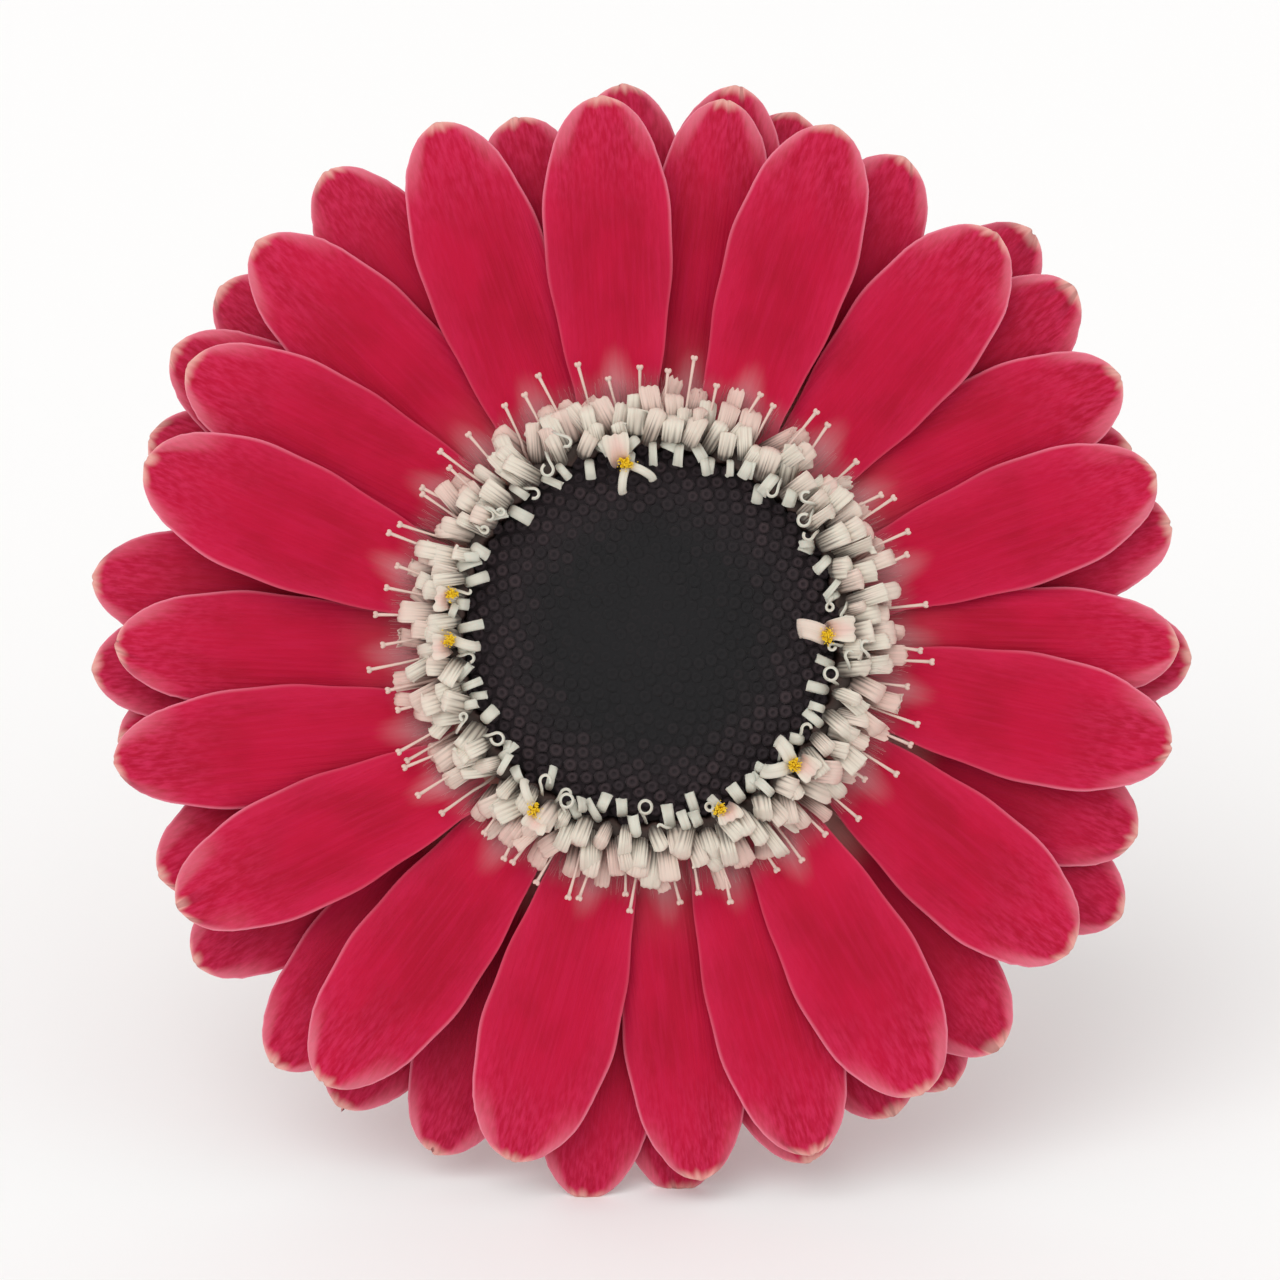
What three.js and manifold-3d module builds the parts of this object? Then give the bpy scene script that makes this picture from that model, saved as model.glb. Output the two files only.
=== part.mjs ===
// A cut gerbera, laid down on a flat surface: millimetres, +Z up, head facing -Y and tilted up a little.
// The head is built in a frame of its own (x right, y up, z out of its face) and then placed.
import * as THREE from 'three';
import { mergeVertices } from 'three/addons/utils/BufferGeometryUtils.js';
import Module from 'manifold-3d';

const wasm = await Module();
wasm.setup();
const { Manifold, Mesh } = wasm;

// Driving dimensions.
const HEAD_TILT = THREE.MathUtils.degToRad(20); // how far the face looks up
const HEAD_Y = -181; // middle of the head, along the flower
const HEAD_HEIGHT = 47.7; // middle of the head, above the surface
const GAP = 0.3; // clearance between pieces that touch

const SEAT_Z = -5; // flat top of the receptacle, in the head's frame
const DISC = { foot: 12.2, rim: 16.4, rimZ: 3.6, topZ: 6.2, edge: 0.5 };
const RING = { foot: 14.6, rim: 18.3, rimZ: 4.2, top: 17.3, topZ: 7.0 };
const ROOTS = { foot: 17.2, rim: 20.0, rimZ: 3.2, insideZ: 3.4 };

const PETAL_THICKNESS = 0.6;
const LAYER_STEP = 1.25; // from one layer of petals to the next
const PETAL_FOOT = 22; // where a petal comes out from under the ring florets
const PETAL_WIDEST = 36;
const PETAL_FOOT_SHARE = 0.56; // width at the foot, as a share of the widest
const PETAL_CLIMB = 2.2; // how far a petal rises over its layer
const PETAL_ARCH = 0.35; // how far its middle stands over its edges
const PETAL_TWIST = 0.05;
const BACK_PETAL_WIDTH = 10.8;
// The end of a petal: where the two rows of points before the tip stand, counted back from it, the
// width of the tip as a share of the row before, and how far its notches and corners step back.
const TIP = { bend: 4.5, last: 1.6, width: 0.55, notch: 0.2, corner: 0.5 };

const STEM_RADIUS = 3.4;
const STEM_LIES_FROM = 20; // where the stem comes down to the surface
const STEM_END = 199;
const STEM_SIDES = 8;
const STEM_STEPS = 22;
const STEM_CURVE = { neck: 60, surface: 90 }; // pull of the bend's two ends
const NECK_Z = -17.5; // where the stem widens into the cup
const NECK_OVERLAP = 0.5; // how far the cup reaches down into the stem

// Front petals, read off the photograph one by one:
// angle of the tip, its distance from the middle, angle of the foot, width, layer (2 is nearest).
const FRONT_PETALS = [
  [95.3, 48.2, 97.8, 11.3, 2],
  [82.0, 48.6, 81.0, 10.6, 0],
  [70.2, 48.2, 68.0, 11.4, 2],
  [49.4, 47.4, 47.3, 11.8, 1],
  [28.8, 48.2, 33.6, 11.2, 0],
  [17.7, 47.4, 15.0, 11.2, 1],
  [358.9, 47.4, 359.1, 10.0, 0],
  [347.9, 47.6, 347.8, 11.5, 1],
  [323.1, 47.5, 326.8, 11.6, 1],
  [300.9, 47.3, 303.2, 11.7, 2],
  [287.5, 48.5, 288.9, 11.0, 1],
  [275.3, 49.0, 273.4, 10.6, 0],
  [255.2, 48.5, 256.7, 12.0, 1],
  [233.8, 49.5, 234.5, 11.5, 1],
  [209.8, 48.4, 215.6, 11.0, 2],
  [193.1, 49.2, 202.7, 10.6, 1],
  [180.9, 48.0, 184.5, 10.3, 0],
  [160.9, 48.1, 165.7, 11.6, 2],
  [149.7, 47.8, 145.2, 10.8, 1],
  [135.0, 50.0, 132.6, 11.2, 0],
  [112.6, 50.3, 117.4, 11.4, 1],
];

// Petals that show behind them: angle of the tip, its distance from the middle, layer.
const BACK_PETALS = [
  [92.9, 50.1, -2],
  [80.9, 50.2, -1],
  [74.5, 49.4, -3],
  [62.0, 48.9, -1],
  [46.7, 50.5, -2],
  [39.4, 49.5, -1],
  [21.3, 46.8, -2],
  [12.0, 48.0, -1],
  [357.5, 49.1, -2],
  [348.8, 48.1, -3],
  [337.5, 47.4, -1],
  [329.3, 49.7, -2],
  [310.2, 48.8, -1],
  [303.8, 49.4, -3],
  [296.9, 48.8, -2],
  [286.9, 49.6, -1],
  [273.0, 50.7, -2],
  [263.3, 51.3, -1],
  [247.3, 50.9, -2],
  [236.5, 51.4, -3],
  [228.7, 51.5, -1],
  [215.8, 50.8, -2],
  [206.0, 49.3, -1],
  [191.5, 49.4, -3],
  [183.5, 50.7, -2],
  [174.1, 50.6, -1],
  [158.3, 48.8, -2],
  [148.9, 50.2, -1],
  [140.9, 50.5, -3],
  [124.9, 51.1, -1],
  [104.6, 48.3, -1],
];

// Rows of lips, from the outer to the inner: how many, part of a step that the row is turned by,
// width, and the middle line as [distance from the axis, height] from the tubes outward.
const LIP_ROWS = [
  { count: 28, turn: 0, width: 3.4, line: [[17.3, 5.2], [19.6, 6.7], [22.7, 5.6]] },
  { count: 28, turn: 0.5, width: 3.0, line: [[17.1, 6.5], [18.7, 8.3], [20.9, 7.3]] },
];
const LIP_SPREAD = { reach: 1.2, height: 0.3 }; // how much one lip may differ from the next
const RIBBON_ROOT_SHARE = 0.7; // width of a ribbon at its root
const LOBES = { count: 26, width: 1.2, spread: 0.5, line: [[17.1, 6.6], [16.6, 7.9], [15.5, 7.5]] };
const STYLES = { count: 30, root: 17.3, height: 4.3, reach: [22.6, 25.0], radius: 0.3, knob: 0.5 };
const KNOB_LENGTH = 0.8;
const OPEN_FLORETS = [98, 0, -42, -68, -123.6, 181, 168]; // where yellow anthers show
const ANTHERS = { out: 17.1, height: 7.6, length: 3, top: 0.5, bottom: 0.8 };
const BUDS = { count: 54, reach: 15.1, length: 2.2, top: 0.65, bottom: 1.0, sunk: 0.2 };
// Rows of bracts: how many, part of a step that the row is turned by, and where their feet and tips
// lie, as shares of the line that runs up the cup and out under the petals.
const BRACT_ROWS = [
  { count: 9, turn: 0, foot: 0.04, tip: 0.46 },
  { count: 12, turn: 0.5, foot: 0.18, tip: 0.68 },
  { count: 18, turn: 0.25, foot: 0.34, tip: 0.93 },
];
// A bract's rows of points from foot to tip: half width, height over the cup, thickness.
const BRACT_SHAPE = [[1.3, 0.3, 1.5], [1.9, 0.8, 1.5], [1.7, 0.8, 1.5], [0.3, 0.7, 0.6]];

const materials = {
  petal: { color: 0xc41a3e, roughness: 0.55 },
  lip: { color: 0xdccdc0, roughness: 0.6 },
  bud: { color: 0x2e2629, roughness: 0.8 },
  green: { color: 0x6f8f3c, roughness: 0.6 },
};

const up = new THREE.Vector3(0, 0, 1);

function random(seed) {
  const wave = Math.sin(seed * 127.1 + 11.7) * 43758.5453;
  return wave - Math.floor(wave);
}

// ---- Solids ----

function toSolid(geometry) {
  geometry.deleteAttribute('normal');
  geometry.deleteAttribute('uv');
  const merged = mergeVertices(geometry, 1e-4);
  const solid = new Manifold(new Mesh({
    numProp: 3,
    vertProperties: new Float32Array(merged.attributes.position.array),
    triVerts: new Uint32Array(merged.index.array),
  }));
  if (solid.volume() <= 0) throw new Error('a solid faces inward');
  return solid;
}

// The outside of a solid: pockets closed in between crowded pieces are filled.
function filled(solid) {
  const bodies = solid.decompose().filter((shell) => shell.volume() > 0);
  if (bodies.length > 1) throw new Error(`${bodies.length} separate bodies`);
  return bodies[0];
}

function toMesh(name, solid, look) {
  const mesh = filled(solid).getMesh();
  const geometry = new THREE.BufferGeometry();
  geometry.setAttribute('position', new THREE.Float32BufferAttribute(mesh.vertProperties, 3));
  geometry.setIndex(new THREE.Uint32BufferAttribute(mesh.triVerts, 1));
  geometry.computeVertexNormals();
  const material = new THREE.MeshStandardMaterial({ ...look, metalness: 0 });
  const result = new THREE.Mesh(geometry, material);
  result.name = name;
  return result;
}

function geometryOf(points, triangles) {
  const geometry = new THREE.BufferGeometry();
  const numbers = points.flatMap((point) => point.toArray());
  geometry.setAttribute('position', new THREE.Float32BufferAttribute(numbers, 3));
  geometry.setIndex(triangles);
  return geometry;
}

// A closed blade between two grids of points alike, front and back: rows from root to tip, each from
// its right edge to its left edge. Both faces are split into triangles alike.
function blade(front, back) {
  const across = front[0].length;
  const behind = front.length * across;
  const at = (i, j) => i * across + j;
  const triangles = [];
  const quad = (a, b, c, d) => triangles.push(a, b, c, a, c, d);
  const edge = across - 1;
  for (let i = 0; i + 1 < front.length; i += 1) {
    for (let j = 0; j < edge; j += 1) {
      const [a, b, c, d] = [at(i, j), at(i + 1, j), at(i + 1, j + 1), at(i, j + 1)];
      quad(a, b, c, d);
      quad(a + behind, d + behind, c + behind, b + behind);
    }
    quad(at(i, 0), at(i, 0) + behind, at(i + 1, 0) + behind, at(i + 1, 0));
    quad(at(i + 1, edge), at(i + 1, edge) + behind, at(i, edge) + behind, at(i, edge));
  }
  const last = front.length - 1;
  for (let j = 0; j < edge; j += 1) {
    quad(at(0, j + 1), at(0, j + 1) + behind, at(0, j) + behind, at(0, j));
    quad(at(last, j), at(last, j) + behind, at(last, j + 1) + behind, at(last, j + 1));
  }
  return toSolid(geometryOf([...front.flat(), ...back.flat()], triangles));
}

// A slim rod: rings of points round a line that runs outward in the plane of one angle.
function rod(line, radii, sides) {
  const points = [];
  const triangles = [];
  line.forEach(([along, height], i) => {
    for (let k = 0; k < sides; k += 1) {
      const turn = (2 * Math.PI * k) / sides;
      points.push(new THREE.Vector3(along, radii[i] * Math.cos(turn), height + radii[i] * Math.sin(turn)));
    }
  });
  for (let i = 0; i + 1 < line.length; i += 1) {
    for (let k = 0; k < sides; k += 1) {
      const [a, b] = [i * sides + k, i * sides + ((k + 1) % sides)];
      triangles.push(a, a + sides, b + sides, a, b + sides, b);
    }
  }
  const end = (line.length - 1) * sides;
  for (let k = 1; k + 1 < sides; k += 1) {
    triangles.push(0, k, k + 1, end, end + k + 1, end + k);
  }
  triangles.reverse();
  return toSolid(geometryOf(points, triangles));
}

// A body turned about the head's axis, from a profile of [radius, height] points.
function turned(profile, sides) {
  const geometry = new THREE.LatheGeometry(profile.map(([r, z]) => new THREE.Vector2(r, z)), sides);
  geometry.rotateX(Math.PI / 2);
  return toSolid(geometry);
}

function spin(solid, degrees) {
  return solid.rotate([0, 0, degrees]);
}

// ---- Ray florets ----

// Height of a petal's middle line over its layer: it climbs from the roots and then levels out.
function petalRise(radius, layer) {
  const out = THREE.MathUtils.clamp((radius - ROOTS.rim) / 30, 0, 1.1);
  return PETAL_CLIMB * Math.sin(out * 1.95) - 0.35 * (2 - layer) * out * out;
}

// Half the width of a petal, a distance out from its foot.
function petalHalfWidth(distance, length, width) {
  const swell = PETAL_WIDEST - PETAL_FOOT;
  const opened = THREE.MathUtils.clamp(distance / swell, 0, 1);
  const opening = THREE.MathUtils.lerp(PETAL_FOOT_SHARE, 1, Math.sin((Math.PI / 2) * opened));
  const rest = Math.max(0, distance - swell) / (length - swell);
  return (width / 2) * Math.min(opening, (1 - rest ** 2) ** 0.6);
}

// Where the root of a petal sits, in the middle of the ring of roots at that height.
function rootRadius(height) {
  const share = (height - SEAT_Z) / (ROOTS.rimZ - SEAT_Z);
  return THREE.MathUtils.lerp(RING.foot + ROOTS.foot, RING.rim + ROOTS.rim, share) / 2;
}

function petal([tipAngle, reach, footAngle, width, layer], index) {
  const polar = (r, degrees) => {
    const turn = THREE.MathUtils.degToRad(degrees);
    return new THREE.Vector3(r * Math.cos(turn), r * Math.sin(turn), 0);
  };
  const foot = polar(PETAL_FOOT, footAngle);
  const tip = polar(reach, tipAngle);
  const length = foot.distanceTo(tip);
  const out = tip.clone().sub(foot).normalize();
  const side = up.clone().cross(out);
  const twist = PETAL_TWIST * (random(index) - 0.5);
  const root = rootRadius(layer * LAYER_STEP) - PETAL_FOOT;
  const last = length - TIP.last;
  const middle = layer < 0 ? [3, 14] : [3, 10, 17.5];
  const rows = [root, ...middle, length - TIP.bend, last, length].map((s) => {
    const isTip = s > last;
    const half = petalHalfWidth(Math.min(s, last), length, width) * (isTip ? TIP.width : 1);
    return [-1, -0.5, 0, 0.5, 1].map((across) => {
      const notch = isTip && Math.abs(across) === 0.5 ? TIP.notch : 0;
      const corner = isTip ? TIP.corner * across * across : 0;
      const point = foot.clone()
        .addScaledVector(out, s - notch - corner)
        .addScaledVector(side, half * across);
      const radius = Math.hypot(point.x, point.y);
      const arch = PETAL_ARCH * (1 - across * across);
      point.z = layer * LAYER_STEP + petalRise(radius, layer) + arch + twist * half * across;
      return point;
    });
  });
  const back = rows.map((row) => row.map((p) => p.clone().addScaledVector(up, -PETAL_THICKNESS)));
  return blade(rows, back);
}

function rayFlorets() {
  const root = turned([
    [RING.foot + GAP, SEAT_Z + GAP],
    [ROOTS.foot, SEAT_Z + GAP],
    [ROOTS.rim, ROOTS.rimZ],
    [RING.rim + GAP, ROOTS.insideZ],
    [RING.foot + GAP, SEAT_Z + GAP],
  ], 30);
  const back = BACK_PETALS.map(([angle, reach, layer]) => [angle, reach, angle, BACK_PETAL_WIDTH, layer]);
  const petals = [...FRONT_PETALS, ...back].map(petal);
  const whole = Manifold.union([root, ...petals]);
  // The lowest tips are pressed flat where they lie on the surface.
  const surface = [0, Math.cos(HEAD_TILT), Math.sin(HEAD_TILT)];
  return toMesh('ray_florets', whole.trimByPlane(surface, -HEAD_HEIGHT), materials.petal);
}

// ---- Ring florets ----

// A ribbon along a line of [distance, height] points.
function ribbon(line, width, degrees) {
  const side = (sign) => line.map(([along, height], i) => {
    const [before, after] = [line[Math.max(i - 1, 0)], line[Math.min(i + 1, line.length - 1)]];
    const slope = new THREE.Vector2(after[0] - before[0], after[1] - before[1]).normalize();
    const shift = (sign * PETAL_THICKNESS) / 2;
    const half = (width / 2) * (i === 0 ? RIBBON_ROOT_SHARE : 1);
    return [-half, half].map((y) => new THREE.Vector3(
      along - slope.y * shift,
      y,
      height + slope.x * shift,
    ));
  });
  return spin(blade(side(1), side(-1)), degrees);
}

// A style: a filament that reaches out over the petals and ends in a knob.
function styleRod(degrees, index) {
  const [near, far] = STYLES.reach;
  const reach = THREE.MathUtils.lerp(near, far, random(index + 500));
  const line = [STYLES.root, reach - KNOB_LENGTH, reach].map((along) => [along, STYLES.height]);
  return spin(rod(line, [STYLES.radius, STYLES.radius, STYLES.knob], 4), degrees);
}

function ringFlorets() {
  const inner = [DISC.foot + GAP, SEAT_Z + GAP];
  const tubes = turned([
    inner,
    [RING.foot, SEAT_Z + GAP],
    [RING.rim, RING.rimZ],
    [RING.top, RING.topZ],
    [DISC.rim + GAP, RING.topZ],
    [DISC.rim + GAP, DISC.rimZ],
    inner,
  ], 24);
  const pieces = [tubes];
  LIP_ROWS.forEach(({ count, turn, width, line }, row) => {
    for (let k = 0; k < count; k += 1) {
      const seed = row * 100 + k;
      const stretch = LIP_SPREAD.reach * (random(seed) - 0.6);
      const lift = LIP_SPREAD.height * (random(seed + 40) - 0.5);
      const [root, arch, [reach, end]] = line;
      const own = [root, [arch[0], arch[1] + lift], [reach + stretch, end + 2 * lift]];
      pieces.push(ribbon(own, width, ((k + turn) * 360) / count));
    }
  });
  for (let k = 0; k < LOBES.count; k += 1) {
    const lift = LOBES.spread * random(k + 300);
    const [root, top, [reach, end]] = LOBES.line;
    const own = [root, [top[0], top[1] + lift], [reach, end + lift]];
    pieces.push(ribbon(own, LOBES.width, ((k + 0.5) * 360) / LOBES.count));
  }
  for (let k = 0; k < STYLES.count; k += 1) {
    pieces.push(styleRod(((k + 0.3 + 0.4 * random(k + 700)) * 360) / STYLES.count, k));
  }
  OPEN_FLORETS.forEach((degrees) => {
    const anther = new THREE.CylinderGeometry(ANTHERS.top, ANTHERS.bottom, ANTHERS.length, 5);
    anther.rotateX(Math.PI / 2);
    anther.translate(ANTHERS.out, 0, ANTHERS.height);
    pieces.push(spin(toSolid(anther), degrees));
  });
  return toMesh('ring_florets', Manifold.union(pieces), materials.lip);
}

// ---- Disc buds ----

// Height of the dome at a distance from the axis.
function domeHeight(radius) {
  return DISC.topZ - (DISC.topZ - DISC.rimZ) * (radius / DISC.rim) ** 2;
}

function discBuds() {
  const profile = [[0, SEAT_Z + GAP], [DISC.foot, SEAT_Z + GAP], [DISC.rim - DISC.edge, DISC.rimZ - DISC.edge]];
  for (const share of [0.85, 0.45, 0]) {
    profile.push([DISC.rim * share, domeHeight(DISC.rim * share)]);
  }
  const dome = turned(profile, 16);
  const goldenAngle = 180 * (3 - Math.sqrt(5));
  const buds = [];
  for (let k = 0; k < BUDS.count; k += 1) {
    const radius = BUDS.reach * Math.sqrt((k + 0.5) / BUDS.count);
    const bud = new THREE.CylinderGeometry(BUDS.top, BUDS.bottom, BUDS.length, 5);
    bud.rotateX(Math.PI / 2);
    bud.translate(radius, 0, domeHeight(radius) - BUDS.sunk);
    buds.push(spin(toSolid(bud), k * goldenAngle));
  }
  return toMesh('disc_buds', Manifold.union([dome, ...buds]), materials.bud);
}

// ---- Stem and involucre ----

// Outside of the cup, from the neck of the stem to its rim.
const cupCorners = [
  new THREE.Vector2(STEM_RADIUS, NECK_Z),
  new THREE.Vector2(6.2, NECK_Z + 1.2),
  new THREE.Vector2(10.8, NECK_Z + 4.0),
  new THREE.Vector2(14.6, NECK_Z + 7.8),
  new THREE.Vector2(17.0, SEAT_Z),
];
const cupOutside = new THREE.SplineCurve(cupCorners);
// The line that the bracts follow: up the outside of the cup and out under the petals.
const bractLine = new THREE.SplineCurve([...cupCorners, new THREE.Vector2(19.6, SEAT_Z - 0.1)]);

function cup() {
  const outside = cupOutside.getPoints(5).map(({ x, y }) => [x, y]);
  const bottom = NECK_Z - NECK_OVERLAP;
  return turned([[0, bottom], [STEM_RADIUS - 0.2, bottom], ...outside, [0, SEAT_Z]], 20);
}

// A narrow pointed bract pressed to the cup, from a share of the bracts' line to another.
function bract({ foot, tip }, degrees) {
  const face = (isInner) => BRACT_SHAPE.map(([half, height, thickness], i) => {
    const share = THREE.MathUtils.lerp(foot, tip, i / (BRACT_SHAPE.length - 1));
    const spot = bractLine.getPoint(share);
    const slope = bractLine.getTangent(share);
    const proud = isInner ? height - thickness : height;
    const [along, rise] = [spot.x + slope.y * proud, spot.y - slope.x * proud];
    return [half, -half].map((across) => new THREE.Vector3(along, across, rise));
  });
  return spin(blade(face(false), face(true)), degrees);
}

// The stem's middle line: out of the back of the head, down in a curve, then straight along the surface.
function stemLine() {
  const facet = STEM_RADIUS * Math.cos(Math.PI / STEM_SIDES);
  const backward = new THREE.Vector3(0, Math.cos(HEAD_TILT), -Math.sin(HEAD_TILT));
  const head = new THREE.Vector3(0, HEAD_Y, HEAD_HEIGHT);
  const neck = head.clone().addScaledVector(backward, -NECK_Z - 2);
  const touchdown = new THREE.Vector3(0, STEM_LIES_FROM, facet);
  const line = new THREE.CurvePath();
  line.add(new THREE.CubicBezierCurve3(
    neck,
    neck.clone().addScaledVector(backward, STEM_CURVE.neck),
    touchdown.clone().add(new THREE.Vector3(0, -STEM_CURVE.surface, 0)),
    touchdown,
  ));
  line.add(new THREE.LineCurve3(touchdown, new THREE.Vector3(0, STEM_END, facet)));
  return line;
}

function stemAndInvolucre(headPlace) {
  const section = new THREE.Shape();
  for (let k = 0; k < STEM_SIDES; k += 1) {
    const turn = ((k + 0.5) * 2 * Math.PI) / STEM_SIDES;
    const corner = [STEM_RADIUS * Math.cos(turn), STEM_RADIUS * Math.sin(turn)];
    if (k === 0) section.moveTo(...corner);
    else section.lineTo(...corner);
  }
  const stem = toSolid(new THREE.ExtrudeGeometry(section, { steps: STEM_STEPS, extrudePath: stemLine() }));
  const pieces = [cup()];
  for (const row of BRACT_ROWS) {
    for (let k = 0; k < row.count; k += 1) {
      pieces.push(bract(row, ((k + row.turn) * 360) / row.count));
    }
  }
  const involucre = Manifold.union(pieces).transform(headPlace.elements);
  return toMesh('stem_and_involucre', Manifold.union([stem, involucre]), materials.green);
}

// ---- The flower ----

const head = new THREE.Group();
head.position.set(0, HEAD_Y, HEAD_HEIGHT);
head.rotation.x = Math.PI / 2 - HEAD_TILT;
head.updateMatrix();
head.add(rayFlorets(), ringFlorets(), discBuds());

const flower = new THREE.Group();
flower.add(head, stemAndInvolucre(head.matrix));

export default flower;
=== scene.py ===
# %% [markdown]
# # A cut gerbera, laid down
#
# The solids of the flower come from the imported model: a stem that lies on the surface and a head that
# faces the camera, tilted up a little. Solids that were drawn for touch and weight have few faces, so
# this lesson grows a finer surface in the place of each one: veined petals, ribbed lips, curled lobes,
# ringed buds and a hairy stem. Everything is grown from a few sizes, in millimetres, in a frame that
# belongs to the head: x to its right, y up its face, z out of its face.

import bpy
import numpy as np
from mathutils import Matrix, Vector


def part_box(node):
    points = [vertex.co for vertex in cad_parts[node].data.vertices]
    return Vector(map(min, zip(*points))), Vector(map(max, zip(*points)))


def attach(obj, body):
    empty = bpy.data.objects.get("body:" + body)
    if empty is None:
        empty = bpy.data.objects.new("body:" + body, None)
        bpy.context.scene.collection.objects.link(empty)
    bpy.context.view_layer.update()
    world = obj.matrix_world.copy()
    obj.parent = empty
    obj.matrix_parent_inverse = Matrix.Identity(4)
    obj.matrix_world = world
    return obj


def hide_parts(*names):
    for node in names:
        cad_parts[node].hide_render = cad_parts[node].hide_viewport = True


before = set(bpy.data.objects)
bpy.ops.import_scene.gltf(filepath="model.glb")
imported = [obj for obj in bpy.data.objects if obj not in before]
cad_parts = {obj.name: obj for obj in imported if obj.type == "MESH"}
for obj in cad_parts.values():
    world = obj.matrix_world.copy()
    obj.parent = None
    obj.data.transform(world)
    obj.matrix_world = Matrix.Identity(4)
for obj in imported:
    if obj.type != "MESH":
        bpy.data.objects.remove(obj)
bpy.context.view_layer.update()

# %% [markdown]
# ## The head's own frame
#
# A gerbera head is round, so its pieces are easiest to place round its own axis. They could be modelled
# upright and turned as objects afterwards, but here a piece keeps its place in its mesh, so each point is
# worked out in the head's frame and moved from there. The frame stands in the middle of the head, with
# the tilt and the height of the solid one. The print shows where the solid disc of buds lies: its middle
# must come close to the frame's.

# %% Place the head's frame
MM = 0.001
HEAD_TILT = np.radians(20)
HEAD_Y = -181.0
HEAD_HEIGHT = 47.7
Z_AXIS = np.array([0.0, 0.0, 1.0])

head_right = np.array([1.0, 0.0, 0.0])
head_up = np.array([0.0, np.sin(HEAD_TILT), np.cos(HEAD_TILT)])
head_out = np.array([0.0, -np.cos(HEAD_TILT), np.sin(HEAD_TILT)])
head_middle = np.array([0.0, HEAD_Y, HEAD_HEIGHT])


def from_head(points):
    """Points of the head's frame as points of the whole flower's frame, both in millimetres."""
    return head_middle + points @ np.array([head_right, head_up, head_out])


def unit(vectors):
    """The same directions, each one long."""
    return vectors / np.linalg.norm(vectors, axis=-1, keepdims=True)


low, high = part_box("disc_buds")
print("middle of the head, mm:", head_middle)
print("middle of the solid disc, mm:", [round(v / MM, 1) for v in (low + high) / 2])

# %% [markdown]
# ## Camera
#
# The flower was pictured square on, so the camera stands on the head's axis. It could be aimed with a
# constraint, but its three directions are the head's own, so they go straight into its matrix. It stands
# far enough away for the petals to show almost no perspective.

# %% Camera on the head's axis
FRAME_WIDTH = 115.2  # how much of the head's plane the square picture takes in
CAMERA_AWAY = 320.0
SENSOR = 36.0
PICTURE_MIDDLE = np.array([-0.9, -0.36, 0.0])  # the picture's middle, from the head's


def place_object(made, place, directions):
    """Puts an object into the scene at a place in metres, with its axes along three directions."""
    bpy.context.scene.collection.objects.link(made)
    matrix = np.eye(4)
    matrix[:3, :3] = np.array(directions).T
    matrix[:3, 3] = place
    made.matrix_world = Matrix(matrix.tolist())


camera_data = bpy.data.cameras.new("camera")
camera_data.sensor_width = SENSOR
camera_data.lens = SENSOR * CAMERA_AWAY / FRAME_WIDTH
camera = bpy.data.objects.new("camera", camera_data)
camera_place = from_head(PICTURE_MIDDLE + CAMERA_AWAY * Z_AXIS) * MM
place_object(camera, camera_place, [head_right, head_up, head_out])
bpy.context.scene.camera = camera
print("camera lens, mm:", round(camera_data.lens, 1))

# %% [markdown]
# ## Colours
#
# A petal's red is easiest to judge in the 0 to 255 steps of a screen, but Blender reckons with linear
# light. Each colour could be picked by hand in a colour wheel. A small function keeps the numbers
# readable instead, and turns all of them the same way.

# %% Colours as a screen shows them
def colour(red, green, blue):
    """A colour in steps of 0 to 255 as the linear values that Blender keeps."""
    steps = np.array([red, green, blue]) / 255
    linear = np.where(steps <= 0.04045, steps / 12.92, ((steps + 0.055) / 1.055) ** 2.4)
    return (*[float(v) for v in linear], 1.0)


print("crimson as linear light:", [round(v, 3) for v in colour(182, 8, 52)])

# %% [markdown]
# ## Sums of sockets
#
# A finish is a graph of nodes, and a graph that is wired line by line is hard to read. This class wraps
# one socket and stands for its value, so that 1.0 - mask * 0.5 adds the two Math nodes that it needs. A
# place in a pattern is a vector and goes through Vector Math. Colours are only ever mixed, because a
# Math node would turn them grey.

# %% A socket that can be used in sums
class Link:
    """A value or vector on its way between nodes. Sums and products of it add the nodes they need."""

    def __init__(self, finish, socket):
        self.finish = finish
        self.socket = socket

    def maths(self, operation, first, second):
        kind = "ShaderNodeVectorMath" if self.socket.type == "VECTOR" else "ShaderNodeMath"
        return self.finish.node(kind, {"operation": operation}, {0: first, 1: second})

    def __add__(self, other):
        return self.maths("ADD", self, other)

    __radd__ = __add__

    def __sub__(self, other):
        return self.maths("SUBTRACT", self, other)

    def __rsub__(self, other):
        return self.maths("SUBTRACT", other, self)

    def __neg__(self):
        return self * -1.0

    def __mul__(self, other):
        return self.maths("MULTIPLY", self, other)

    __rmul__ = __mul__

    def __truediv__(self, other):
        return self.maths("DIVIDE", self, other)

    def __rtruediv__(self, other):
        return self.maths("DIVIDE", other, self)

    def __pow__(self, other):
        return self.maths("POWER", self, other)

    def __rpow__(self, other):
        return self.maths("POWER", other, self)


# %% [markdown]
# ## A finish
#
# The surfaces of a flower are matt, and some let a little light through. What sets them apart is colour,
# pattern and grain. Each material could be built in the node editor. Here one class starts from
# Blender's own Principled shader and offers the few steps that a plant's surface needs: read a number
# that the mesh keeps, make an uneven pattern, turn it into a mask, blend two colours, and raise the
# surface.

# %% A material and its nodes
FLESH_GLOW = (1.0, 0.35, 0.3)  # how far red, green and blue light spreads inside, by comparison
GLOW_DEPTH = 0.6 * MM


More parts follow.
